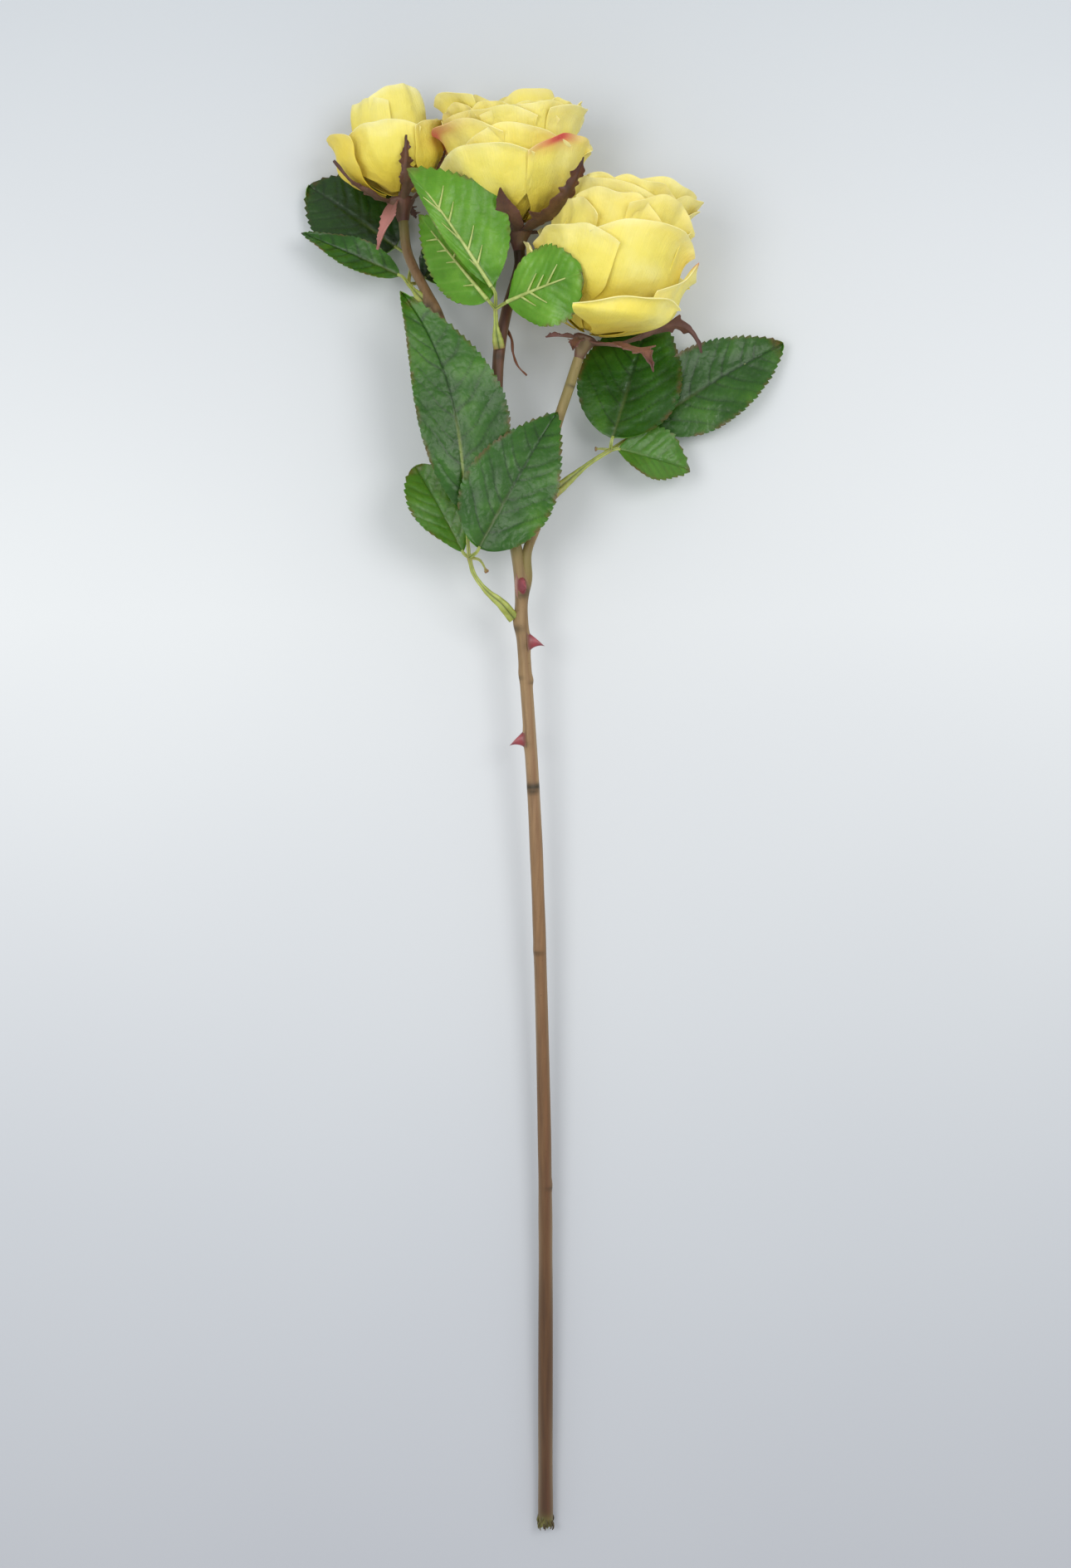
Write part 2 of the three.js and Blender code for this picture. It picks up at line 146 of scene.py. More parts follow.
def make_piece(name, part, finish, crease=60):
    verts, faces, marks = part
    mesh = bpy.data.meshes.new(name)
    mesh.from_pydata(((verts + spray_origin) * millimetre).tolist(), [], faces)
    for key, values in marks.items():
        mesh.attributes.new(key, "FLOAT", "POINT").data.foreach_set("value", values.astype(np.float32))
    mesh.shade_smooth()
    mesh.set_sharp_from_angle(angle=math.radians(crease))
    mesh.materials.append(finish)
    piece = bpy.data.objects.new(name, mesh)
    bpy.context.scene.collection.objects.link(piece)
    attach(piece, "root")
    return piece


def paint(red_tint_and_painted_shade, green, blue):
    """A colour as a paint card gives it, 0 to 255, as the shader needs it."""
    part = [c / 255 for c in (red_tint_and_painted_shade, green, blue)]
    return (*[c / 12.92 if c <= 0.04045 else ((c + 0.055) / 1.055) ** 2.4 for c in part], 1)


def new_finish(name, **sockets):
    material = bpy.data.materials.new(name)
    material.use_nodes = True
    shader = material.node_tree.nodes["Principled BSDF"]
    for key, value in sockets.items():
        shader.inputs[key.replace("_", " ")].default_value = value
    return material, material.node_tree, shader


def node(tree, kind, output, inputs=None, **settings):
    made = tree.nodes.new("ShaderNode" + kind)
    for key, value in settings.items():
        setattr(made, key, value)
    for key, value in (inputs or {}).items():
        if isinstance(value, bpy.types.NodeSocket):
            tree.links.new(value, made.inputs[key])
        else:
            made.inputs[key].default_value = value
    return made.outputs[output]


def mark(tree, name):
    return node(tree, "Attribute", "Fac", attribute_name=name)


def mix(tree, share, first, second, way="MIX"):
    """Factor, A and B of a colour mix are its inputs 0, 6 and 7, and its result is output 2."""
    inputs = {0: share, 6: first, 7: second}
    return node(tree, "Mix", 2, inputs, data_type="RGBA", blend_type=way)


def shades(tree, share, *stops):
    """A colour for each share from 0 to 1. A stop is its place, red, green and blue."""
    made = tree.nodes.new("ShaderNodeValToRGB")
    tree.links.new(share, made.inputs["Fac"])
    elements = made.color_ramp.elements
    while len(elements) < len(stops):
        elements.new(0.5)
    for element, (place, *colour) in zip(elements, stops):
        element.position, element.color = place, paint(*colour)
    return made.outputs["Color"]


def coats(tree, colour, *paints):
    """Coats of paint over a colour, each with the mark that says where it goes."""
    for name, *coat in paints:
        colour = mix(tree, mark(tree, name), colour, paint(*coat))
    return colour


def times(tree, first, second):
    return node(tree, "Math", "Value", {0: first, 1: second}, operation="MULTIPLY")


def grain(tree, scale, detail=3.0, stretch=(1, 1, 1)):
    """Uneven grain, scale in patches a metre; stretch multiplies it along x, y and z."""
    place = node(tree, "TexCoord", "Object")
    place = node(tree, "Mapping", "Vector", {"Vector": place, "Scale": stretch})
    inputs = {"Vector": place, "Scale": scale, "Detail": detail, "Roughness": 0.55}
    return node(tree, "TexNoise", "Fac", inputs)


def wear(tree, shader, colour, layers):
    """The shader's colour, and bumps one on another: (height socket, depth in metres, strength)."""
    tree.links.new(colour, shader.inputs["Base Color"])
    normal = None
    for height, depth, strength in layers:
        inputs = {"Height": height, "Distance": depth, "Strength": strength}
        if normal is not None:
            inputs["Normal"] = normal
        normal = node(tree, "Bump", "Normal", inputs)
    tree.links.new(normal, shader.inputs["Normal"])


black, white = (0, 0, 0), (255, 255, 255)
bark, tree, shader = new_finish(
    "bark paint", Roughness=0.5, Sheen_Weight=0.05, Sheen_Roughness=0.45,
    Sheen_Tint=paint(226, 214, 190), Specular_IOR_Level=0.4,
)
along_stem = shades(
    tree, mark(tree, "height"), (0.0, 74, 47, 24), (0.22, 98, 68, 38), (0.45, 128, 95, 60),
    (0.60, 152, 122, 86), (0.70, 150, 124, 84), (0.82, 112, 86, 56), (0.93, 84, 52, 36),
    (1.0, 66, 36, 24),
)
streaks = shades(tree, grain(tree, 420, 5, (1, 0.07, 1)), (0.36, *black), (0.66, *white))
streaked = mix(tree, 0.75, along_stem, paint(120, 84, 58), "MULTIPLY")
bark_colour = mix(tree, times(tree, streaks, 0.55), along_stem, streaked)
# Painted shade: the red coat darkens a stripe along the canes; on the tendril it gives the shoot its own
# red-brown.
# Painted sheen: the pale coat lightens both sides of the stem and branches, in place of the gloss along
# their edges.
bark_colour = coats(
    tree, bark_colour, ("painted_side_sheen", 166, 146, 116), ("red_tint_and_painted_shade", 108, 62, 38), ("green", 122, 128, 62),
    ("dark", 48, 40, 22),
)
specks = shades(tree, grain(tree, 900, 2), (0.66, *black), (0.76, *white))
bark_colour = mix(tree, times(tree, specks, 0.5), bark_colour, paint(74, 52, 34))
rough_grain = grain(tree, 260, 4, (1, 0.2, 1))
bark_rough = node(tree, "MapRange", "Result", {"Value": rough_grain, 3: 0.36, 4: 0.62})
tree.links.new(bark_rough, shader.inputs["Roughness"])
bark_bumps = [(grain(tree, 520, 5, (1, 0.09, 1)), 0.0005, 0.7), (grain(tree, 1500, 3), 0.00015, 0.5)]
wear(tree, shader, bark_colour, bark_bumps)


def cane(line, radii, sides, swellings, cut=False, height=(0.0, 1.0), green_at=(), dark_at=()):
    """A stem or branch. A swelling is its y, side in degrees, how far it stands out, half length."""
    turn = ring(sides)
    run = np.concatenate([[0], np.cumsum(np.linalg.norm(np.diff(line, axis=0), axis=1))])[:, None]
    y = line[:, 1:2]
    radii = radii[:, None] * (
        1
        + 0.022 * np.sin(4 * turn + 1.3 * np.sin(run / 47))
        + 0.016 * np.sin(7 * turn - run / 31)
        + 0.02 * np.sin(run / 9.7 + 2 * np.sin(run / 23))
    )
    scar = np.zeros_like(radii)
    for where, side, out, half in swellings:
        facing = np.maximum(0, np.cos((turn - math.radians(side)) * 0.5)) ** (6 if out < 1.2 else 3)
        radii = radii + out * bump(y, where, half) * facing
        scar = np.maximum(scar, bump(y, where - 0.6 * half, half * 0.35) * facing)
    shift = np.zeros_like(radii)
    open_end = np.zeros_like(radii)
    if cut:
        rng = np.random.default_rng(7)
        ragged = np.interp(turn[0], np.linspace(0, 2 * math.pi, 29), rng.uniform(-1.5, 0.9, 29))
        start, ahead = line[0], unit(line[1] - line[0])
        rim = np.array([start + ahead * 0.02 * k for k in range(3)])
        line = np.vstack([rim, line[1:]])
        fray = 1.04 + 0.1 * rng.uniform(0, 1, sides)
        radii = np.vstack([radii[0] * 0.45, radii[0] * 0.82, radii[0] * fray, radii[1:]])
        shift = np.vstack([ragged * 0 + 1.5, ragged * 0.5 + 0.7, ragged, shift[1:]])
        open_end = np.vstack([turn * 0 + 1, turn * 0 + 0.8, turn * 0 + 0.35, open_end[1:]])
        y, scar, run = (np.vstack([a[:1], a[:1], a[:1], a[1:]]) for a in (y, scar, run))
    share = np.linspace(height[0], height[1], len(line))[:, None]
    # Painted sheen: both sides of the cane, as seen from above, are painted paler, standing in for the gloss
    # along its edges.
    painted_side_sheen = 0.55 * np.abs(np.cos(turn)) ** 3
    # Painted shade: a darker red-brown stripe just right of the cane's top stands in for the shade beside a
    # ridge.
    red_tint_and_painted_shade = 0.3 * bump(turn, math.radians(66), 0.35)
    green = sum((bump(y, place, half) for place, half in green_at), np.zeros_like(y))
    dark = sum((bump(y, place, half) for place, half in dark_at), np.zeros_like(y))
    marks = {
        "height": share,
        "painted_side_sheen": painted_side_sheen * (0.6 + 0.4 * np.sin(run / 17)) * (1 - open_end),
        "red_tint_and_painted_shade": red_tint_and_painted_shade * (0.6 + 0.4 * np.sin(run / 29 + 2)) * (1 - open_end),
        "green": np.clip(0.45 * green + 0.85 * open_end, 0, 1),
        "dark": np.clip(0.7 * scar + dark, 0, 1),
    }
    return tube(line, radii, sides, shift=shift, marks=marks)


stem_line = smooth_line(
    [
        (1, -327, 3.3), (0.5, -154.8, 11), (-3.6, -11.3, 19), (-9.6, 83, 25), (-11, 108, 26.5),
        (-18.5, 146, 28.5), (-20.5, 172, 29.5), (-20, 200, 30.5), (-16.5, 220, 31),
        behind("middle", 6), behind("middle", 0),
    ],
    560,
)
stem_radii = np.linspace(stem_radius, stem_tip_radius, len(stem_line))
stem_swellings = [
    (97, 70, 0.7, 4), (74.5, 5, 0.7, 4), (31, 172, 0.7, 4), (57, 0, 0.55, 2), (60, 178, 0.4, 3),
    (8.5, 95, 0.35, 2.6), (-64, 120, 0.45, 2.2), (-171, 20, 0.4, 2.4), (83, 165, 1.3, 5),
    (100, 12, 1.3, 7), (140, 180, 1.2, 7), (203, 90, 0.9, 5),
]
stem_tints = dict(green_at=[(122, 14), (-326, 3.5)], dark_at=[(9.5, 1.6), (258, 14)])
stem_part = cane(stem_line, stem_radii, 32, stem_swellings, cut=True, **stem_tints)
stem = make_piece("stem_cane", stem_part, bark)
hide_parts("main_stem")

# The cut tears short fibres out of the end: thin green-brown threads round its rim.
fibre_count = 42
fibre_rng = np.random.default_rng(17)
fibres = []
for k in range(fibre_count):
    around = 2 * math.pi * (k + fibre_rng.uniform(-0.4, 0.4)) / fibre_count
    out = np.array((math.cos(around), 0.0, math.sin(around)))
    reach = stem_radius * fibre_rng.uniform(0.75, 1.0)
    first = stem_line[0] + out * reach + (0, fibre_rng.uniform(0.3, 4.6), 0)
    end = first + out * fibre_rng.uniform(-0.3, 1.1) - (0, fibre_rng.uniform(1.4, 3.8), 0)
    end[2] = max(end[2], 0.5)
    share = np.linspace(0, 1, 8)[:, None]
    # A fibre's tone is its own colour, from green to dark brown.
    tone_and_painted_shade = fibre_rng.uniform(0.05, 0.6)
    marks = {"height": 0.1, "painted_side_sheen": 0.0, "red_tint_and_painted_shade": 0.0, "green": tone_and_painted_shade, "dark": 0.7 * (1 - tone_and_painted_shade)}
    line = first + (end - first) * share + out * 0.5 * np.sin(np.pi * share)
    thick = fibre_rng.uniform(0.35, 0.65) * (1 - 0.6 * share)
    fibres.append(tube(line, thick, 7, marks=marks))
fibre_piece = make_piece("cut_end_fibres", together(fibres), bark)


# ---- Branches ----
# Two thinner canes of the same painted plastic, to the right bloom and to the bud. Each is pressed
# onto the side of the stem, with a groove between them, and swells where a leaf leaves it.
def at_y(line, radii, y):
    """The place, direction and radius of a cane where it passes y."""
    i = int(np.argmin(np.abs(line[:, 1] - y)))
    along = unit(line[min(i + 1, len(line) - 1)] - line[max(i - 1, 0)])
    return line[i], along, radii[i]


def on_stem(y):
    return at_y(stem_line, stem_radii, y)


def beside(cane_at, direction, radius, gap=0.35):
    place, _, own = cane_at
    return place + unit(np.array(direction, float)) * (own + radius + gap)


branch_lines = {
    "right": smooth_line(
        [
            beside(on_stem(90), (1, 0, 0.1), branch_radius, -3.4),
            beside(on_stem(101), (1, 0, 0.1), branch_radius, -1.7),
            beside(on_stem(113), (1, 0.1, 0.1), branch_radius, -0.4),
            (-2.4, 128, 28), (4.5, 165, 31), behind("right", 14), behind("right", 0),
        ],
        160,
    ),
    "bud": smooth_line(
        [
            beside(on_stem(131), (-1, 0, 0), branch_radius, -3.4),
            beside(on_stem(141), (-1, -0.1, 0), branch_radius, -0.6),
            beside(on_stem(152), (-1, 0, 0), branch_radius),
            (-34, 184, 28), (-46, 217, 28), behind("bud", 14), behind("bud", 0),
        ],
        180,
    ),
}
branch_radii = np.full(180, branch_radius)
branch_looks = {
    "right": dict(
        swellings=[(139, 0, 1.2, 4), (188, 60, 0.35, 2)], height=(0.46, 0.62),
        green_at=[(108, 13), (188, 26)],
    ),
    "bud": dict(
        swellings=[(226, 178, 1.3, 4), (222, 60, 0.6, 5)], height=(0.66, 0.84),
        green_at=[(262, 9), (140, 9)],
    ),
}
for side, line in branch_lines.items():
    foot = 0.3 + 0.7 * ease(np.arange(len(line)), 0, 22)
    part = cane(line, branch_radii[: len(line)] * foot, 24, **branch_looks[side])
    branch = make_piece(f"{side}_branch_cane", part, bark)
    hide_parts(f"{side}_branch")

# ---- Tendril ----
# A thin red-brown shoot of moulded plastic behind the stem, under the middle leaf, curling away to
# the right and thinning to nothing.
tendril_line = smooth_line(
    [(-16.5, 213, 28), (-14.2, 208, 30), (-13.6, 202, 31), (-11.5, 196, 32), (-7.5, 191.5, 33)], 40
)
tendril_share = np.linspace(0, 1, 40)[:, None]
tendril_radii = 0.75 - 0.4 * tendril_share + 0.1 * np.sin(tendril_share * 21)
# On the tendril the red mark is its own red-brown colour, not painted shade.
tendril_marks = {
    "height": 0.95, "painted_side_sheen": 0.0, "red_tint_and_painted_shade": 0.6 + 0.3 * tendril_share, "green": 0.0,
    "dark": 0.1 * tendril_share,
}
tendril = make_piece("tendril", tube(tendril_line, tendril_radii, 10, marks=tendril_marks), bark)

# ---- Thorns ----
# Three hooked thorns of crimson plastic, long along the stem and thin across it. Each is moulded on
# a flared foot in the bark and bends down towards the cut end.
thorn_length, thorn_along, thorn_across, thorn_sink = 7.4, 2.75, 1.25, 0.55
thorns = {  # height on the stem, which way it faces, how far its tip hooks down, how broad
    "upper": (98.5, (0.3, 0, 1), 1.8, 1.75),
    "right": (74.5, (1, -0.25, 0.15), 2.6, 1.5),
    "left": (31, (-1, -0.3, 0.15), 2.6, 1.35),
}

thorn_finish, tree, shader = new_finish(
    "crimson thorn", Roughness=0.42, Coat_Weight=0.2, Coat_Roughness=0.3, Subsurface_Weight=0.1
)
thorn_colour = shades(
    tree, mark(tree, "out"), (0.0, 128, 92, 66), (0.14, 118, 52, 52), (0.45, 132, 44, 60),
    (0.8, 102, 32, 46), (1.0, 70, 22, 28),
)
thorn_colour = coats(tree, thorn_colour, ("crest", 206, 118, 128))
thorn_spots = shades(tree, grain(tree, 700, 4), (0.4, *black), (0.7, *white))
thorn_colour = mix(tree, times(tree, thorn_spots, 0.4), thorn_colour, paint(120, 40, 48))
wear(tree, shader, thorn_colour, [(grain(tree, 900, 4, (1, 0.4, 1)), 0.0002, 0.6)])

for side, (y, facing, hook, broad) in thorns.items():
    place, along, radius = on_stem(y)
    out = unit(np.array(facing) - along * np.dot(facing, along))
    share = np.linspace(0, 1, 26)
    reach = (radius - thorn_sink + thorn_length * share)[:, None]
    line = place + out * reach - along * (hook * share**2)[:, None]
    turn = ring(24)
    flare = (1 + 0.55 * np.exp(-share / 0.07)) * np.maximum(1 - share, 0.015) ** 1.25
    wide = (thorn_along * broad * flare)[:, None]
    thin = (thorn_across * broad * flare)[:, None]
    radii = 1 / np.sqrt((np.cos(turn) / wide) ** 2 + (np.sin(turn) / thin) ** 2)
    crest = np.maximum(0, np.cos(turn)) ** 4 * ease(share, 0.1, 0.5)[:, None] * 0.4
    marks = {"out": share[:, None], "crest": crest}
    across = np.broadcast_to(along, (26, 3))
    thorn = make_piece(f"{side}_thorn", tube(line, radii, 24, across, marks=marks), thorn_finish)
    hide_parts(f"thorn_{side}")

# ---- Leaf stalks ----
# Each leaf has a moulded yellow-green stalk, flushed red-brown at its joints. It clasps the cane with
# a flat foot, forks into three stalklets and has a groove along its upper side.
stalk_radius, stalklet_radius = 1.1, 0.8
stalk_lines = {
    "low": [
        beside(on_stem(84), (-1, 0, 0.35), stalk_radius, 0), (-18.5, 90.5, 29), (-25.5, 96.5, 30),
        (-31, 104, 30.5), (-33, 111, 31),
    ],
    "right": [
        beside(at_y(branch_lines["right"], branch_radii, 139), (1, 0, -0.1), stalk_radius, 0),
        (11.5, 146.5, 25), (21, 154.5, 22), (30, 160.5, 19),
    ],
    "middle": [
        beside(on_stem(203), (0, 0, 1), stalk_radius, 0), (-20.8, 210, 37), (-21.2, 219, 42),
    ],
    "bud": [
        beside(at_y(branch_lines["bud"], branch_radii, 226), (-1, 0, -0.1), stalk_radius, 0),
        (-57, 230, 25), (-60.5, 234.5, 22),
    ],
}
spurs = {  # a short shoot that curls back from the fork
    "low": [(-33, 111, 31), (-28.5, 110, 31), (-25, 104.5, 30)],
    "right": [(30, 160.5, 19), (26.5, 161, 19.5), (23, 161, 19.5)],
}
# A leaflet's tone darkens it with painted shadow: the bud's leaves, lying in the bud's shadow, are painted
# darkest; a negative tone paints a leaflet lighter instead.
leaves = {
    "low": {
        "end": dict(
            at=(-34.5, 131, 33), length=99, width=46, heading=93.5, pitch=8, roll=4, fold=0.2,
            bend=14, sweep=22, left_share=0.72, widest=0.84, pale_rib=0.9,
        ),
        "right": dict(
            at=(-28.5, 115, 35), length=69, width=41, heading=61, pitch=14, roll=-6, fold=0.12, bend=22
        ),
        "left": dict(
            at=(-36, 114, 30.5), length=44, width=26, heading=117, pitch=3, roll=14, fold=0.3, bend=16,
            widest=1.3, full=0.6, tone_and_painted_shade=-0.15,
        ),
    },
    "right": {
        "inner": dict(
            at=(31, 166, 20), length=66, width=46, heading=73, pitch=-12, roll=-6, fold=0.05, bend=4,
            widest=0.78, full=0.75, tone_and_painted_shade=0.2,
        ),
        "end": dict(
            at=(47, 173, 11), length=73, width=38, heading=34, pitch=2, roll=-3, fold=0.05, bend=12,
            sweep=-3, widest=0.8, full=0.75, tone_and_painted_shade=0.15,
        ),
        "outer": dict(
            at=(34, 161, 18.5), length=34, width=22, heading=-12, pitch=0, roll=-20, fold=0.25, bend=20,
            widest=0.95, left_share=1.25, tone_and_painted_shade=-0.2,
        ),
    },
    "middle": {
        "end": dict(
            at=(-23, 228, 46), length=62, width=46, heading=124, pitch=14, roll=-10, fold=-0.25,
            bend=16, sweep=4, left_share=0.26, widest=0.85,
        ),
        "left": dict(
            at=(-24.5, 222.5, 44), length=55, width=27, heading=128, pitch=-14, roll=-14, fold=-0.2,
            bend=10,
        ),
        "right": dict(
            at=(-15.5, 221, 47), length=39, width=34, heading=14, pitch=42, roll=0, fold=-0.1, bend=20,
            widest=1.15, full=0.55,
        ),
    },
    "bud": {
        "end": dict(
            at=(-67, 254, 10), length=50, width=38, heading=143, pitch=-3, roll=8, fold=0.02, bend=8,
            widest=0.92, full=0.65, tone_and_painted_shade=0.72,
        ),
        "left": dict(
            at=(-65, 239, 20), length=49, width=15, heading=154, pitch=-2, roll=15, fold=0.2, bend=10,
            tone_and_painted_shade=0.1,
        ),
        "right": dict(
            at=(-53.5, 238.5, 16), length=30, width=22, heading=42, pitch=-10, roll=0, fold=0.1,
            bend=10, tone_and_painted_shade=0.75,
        ),
    },
}

stalk_finish, tree, shader = new_finish("stalk green", Roughness=0.42, Subsurface_Weight=0.08)
stalk_colour = shades(
    tree, grain(tree, 260, 4), (0.3, 126, 140, 56), (0.55, 158, 170, 80), (0.75, 182, 190, 108)
)
# Painted shade: the groove coat darkens the groove along the stalk, standing in for the shade inside it.
stalk_colour = coats(tree, stalk_colour, ("flush", 128, 82, 50), ("groove_and_painted_shade", 62, 84, 26))
wear(tree, shader, stalk_colour, [(grain(tree, 1300, 3), 0.00012, 0.6)])


def stalk_rod(points, start, end, count, flush, foot=0.0, bulb=0.0):
    line = smooth_line(points, count)
    share = np.linspace(0, 1, count)[:, None]
    turn = ring(16)
    radii = start + (end - start) * share
    radii = radii * (1 + 0.05 * np.sin(share * 40)) + foot * (1 - ease(share, 0.1, 0.7)) * np.cos(turn) ** 2
    radii = radii + bulb * bump(share, 0.94, 0.07)
    groove_and_painted_shade = bump((turn - math.pi / 2 + math.pi) % (2 * math.pi) - math.pi, 0, 0.35)
    radii = radii * (1 - 0.22 * groove_and_painted_shade)
    marks = {
        "flush": np.clip(flush(share), 0, 1),
        # Painted shade: this mark paints the groove darker, most strongly near the cane.
        "groove_and_painted_shade": groove_and_painted_shade * (0.6 + 0.4 * (1 - ease(share, 0.3, 0.8))),
    }
    return tube(line, radii, 16, marks=marks)


def heading_of(leaflet):
    heading, pitch = math.radians(leaflet["heading"]), math.radians(leaflet["pitch"])
    return np.array(
        (math.cos(heading) * math.cos(pitch), math.sin(heading) * math.cos(pitch), math.sin(pitch))
    )


for name, points in stalk_lines.items():
    fork = np.array(points[-1], float)
    at_joint = 0.1 if name == "low" else 0.75
    joint = lambda s: at_joint * np.exp(-s / 0.1) + 0.45 * np.exp(-(1 - s) / 0.06)
    parts = [stalk_rod(points, stalk_radius, stalk_radius * 0.9, 60, joint, foot=1.5)]
    for leaflet in leaves[name].values():
        end = np.array(leaflet["at"], float) + heading_of(leaflet) * 0.6
        before = end - heading_of(leaflet) * 0.35 * np.linalg.norm(end - fork)
        to_blade = lambda s: 0.4 * np.exp(-s / 0.12)
        parts.append(
            stalk_rod([fork, before, end], stalklet_radius * 1.1, stalklet_radius * 0.8, 30, to_blade)
        )
    if name in spurs:
        to_tip = lambda s: 0.2 + 0.8 * ease(s, 0.7, 1)
        parts.append(stalk_rod(spurs[name], stalklet_radius, 0.35, 24, to_tip, bulb=0.75))
    stalk = make_piece(f"{name}_leaf_stalk_rods", together(parts), stalk_finish)
    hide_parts(f"{name}_leaf_stalk")

# ---- Leaf blades ----
# Twelve leaflets of stiffened cloth, cut with saw teeth and pressed with veins. The upper face is a
# deep satin green, the underside lighter, and the teeth and tips are flushed red-brown.
blade_thickness = 0.45
tooth_pitch, tooth_depth = 2.7, 0.95
underside_up = ("middle",)  # this leaf lies with its underside to the sky


def outline(leaflet, v):
    """Half the width of a leaflet: widest moves its broadest place to the tip, full rounds its ends."""
    full = np.maximum(np.sin(np.pi * v ** leaflet.get("widest", 0.72)), 0) ** leaflet.get("full", 0.85)
    return leaflet["width"] / 2 * (0.05 * (1 - v**5) + 0.96 * full)


def blade_points(leaflet, u, v, extra=0.0):
    """Places on a leaflet: u from -1 to 1 across and v from 0 at its base to 1 at its tip."""
    half = outline(leaflet, v) + extra
    half = np.where(u > 0, half * leaflet.get("left_share", 1), half)
    bend, length = math.radians(leaflet["bend"]), leaflet["length"]
    x = np.sin(bend * v) / bend * length
    droop = (1 - np.cos(bend * v)) / bend * length
    y = u * half + leaflet.get("sweep", 0) * v**3
    return np.stack([x, y, leaflet["fold"] * np.abs(u) * half - droop], -1)


def blade_matrix(leaflet):
    turn = Matrix.Rotation(math.radians(leaflet["heading"]), 4, "Z")
    turn = turn @ Matrix.Rotation(-math.radians(leaflet["pitch"]), 4, "Y")
    turn = turn @ Matrix.Rotation(math.radians(leaflet["roll"]), 4, "X")
    return np.array(Matrix.Translation(leaflet["at"]) @ turn)


def shell(grid, thickness, marks):
    """A closed thin sheet around a grid of points; under is 1 on its lower face."""
    rows, columns = grid.shape[:2]
    normal = unit(np.cross(np.gradient(grid, axis=0), np.gradient(grid, axis=1)))
    sheets = [grid + normal * thickness / 2, grid - normal * thickness / 2]
    verts = np.vstack([s.reshape(-1, 3) for s in sheets])
    n, faces = rows * columns, []
    for j in range(rows - 1):
        for i in range(columns - 1):
            a = j * columns + i
            b, c, d = a + columns, a + columns + 1, a + 1
            faces += [(a, b, c, d), (n + a, n + d, n + c, n + b)]
    for i in range(columns - 1):
        a = (rows - 1) * columns + i
        faces += [(i, i + 1, n + i + 1, n + i), (a + 1, a, n + a, n + a + 1)]
    for j in range(rows - 1):
        a, b = j * columns, j * columns + columns - 1
        faces += [(a + columns, a, n + a, n + a + columns), (b, b + columns, n + b + columns, n + b)]
    made = {key: np.tile(np.broadcast_to(m, (rows, columns)).ravel(), 2) for key, m in marks.items()}
    made["under"] = np.repeat((0.0, 1.0), n)
    return verts, faces, made


blade_finish, tree, shader = new_finish(
    "leaf cloth", Roughness=0.36, Specular_IOR_Level=0.34, Subsurface_Weight=0.04
)
patches = grain(tree, 60, 5)
upper = shades(tree, patches, (0.3, 26, 68, 8), (0.5, 38, 86, 14), (0.72, 60, 112, 26))
upper = mix(tree, times(tree, mark(tree, "vein"), 0.85), upper, paint(22, 50, 14))
upper = coats(tree, upper, ("shade", 18, 38, 10), ("bright", 84, 140, 44), ("rib", 140, 158, 84))
lower = shades(tree, patches, (0.3, 66, 118, 14), (0.52, 84, 140, 28), (0.74, 112, 164, 48))
lower = mix(tree, times(tree, mark(tree, "vein"), 0.3), lower, paint(118, 160, 66))
blade_colour = mix(tree, mark(tree, "pale_face"), upper, lower)
rust = shades(tree, grain(tree, 160, 3), (0.42, *black), (0.62, *white))
rust = times(tree, mark(tree, "rim"), times(tree, rust, 0.7))
blade_colour = mix(tree, rust, blade_colour, paint(98, 60, 38))
threads = grain(tree, 2600, 2)
thread_tone = node(tree, "MapRange", "Result", {"Value": threads, 3: 0.84, 4: 1.12})
blade_colour = mix(tree, 1.0, blade_colour, thread_tone, "MULTIPLY")
blade_rough = node(tree, "MapRange", "Result", {"Value": grain(tree, 70, 3), 3: 0.22, 4: 0.48})
tree.links.new(blade_rough, shader.inputs["Roughness"])
place = node(tree, "TexCoord", "Object")
nudge = node(tree, "TexNoise", "Color", {"Vector": place, "Scale": 300.0})
nudge = node(tree, "VectorMath", "Vector", {0: nudge, "Scale": 0.002}, operation="SCALE")
warped = node(tree, "VectorMath", "Vector", {0: place, 1: nudge}, operation="ADD")
cell_inputs = {"Vector": warped, "Scale": 330.0}
cells = node(tree, "TexVoronoi", "Distance", cell_inputs, feature="DISTANCE_TO_EDGE")
blade_bumps = [(grain(tree, 60, 3), 0.0045, 0.45), (cells, 0.0006, 0.25), (threads, 0.0001, 0.35)]
wear(tree, shader, blade_colour, blade_bumps)

rib_finish, tree, shader = new_finish("leaf rib", Roughness=0.38, Subsurface_Weight=0.1)
rib_colour = shades(
    tree, grain(tree, 300, 3), (0.3, 150, 164, 84), (0.55, 178, 190, 108), (0.78, 198, 204, 134)
)
wear(tree, shader, rib_colour, [(grain(tree, 1200, 2), 0.0001, 0.5)])

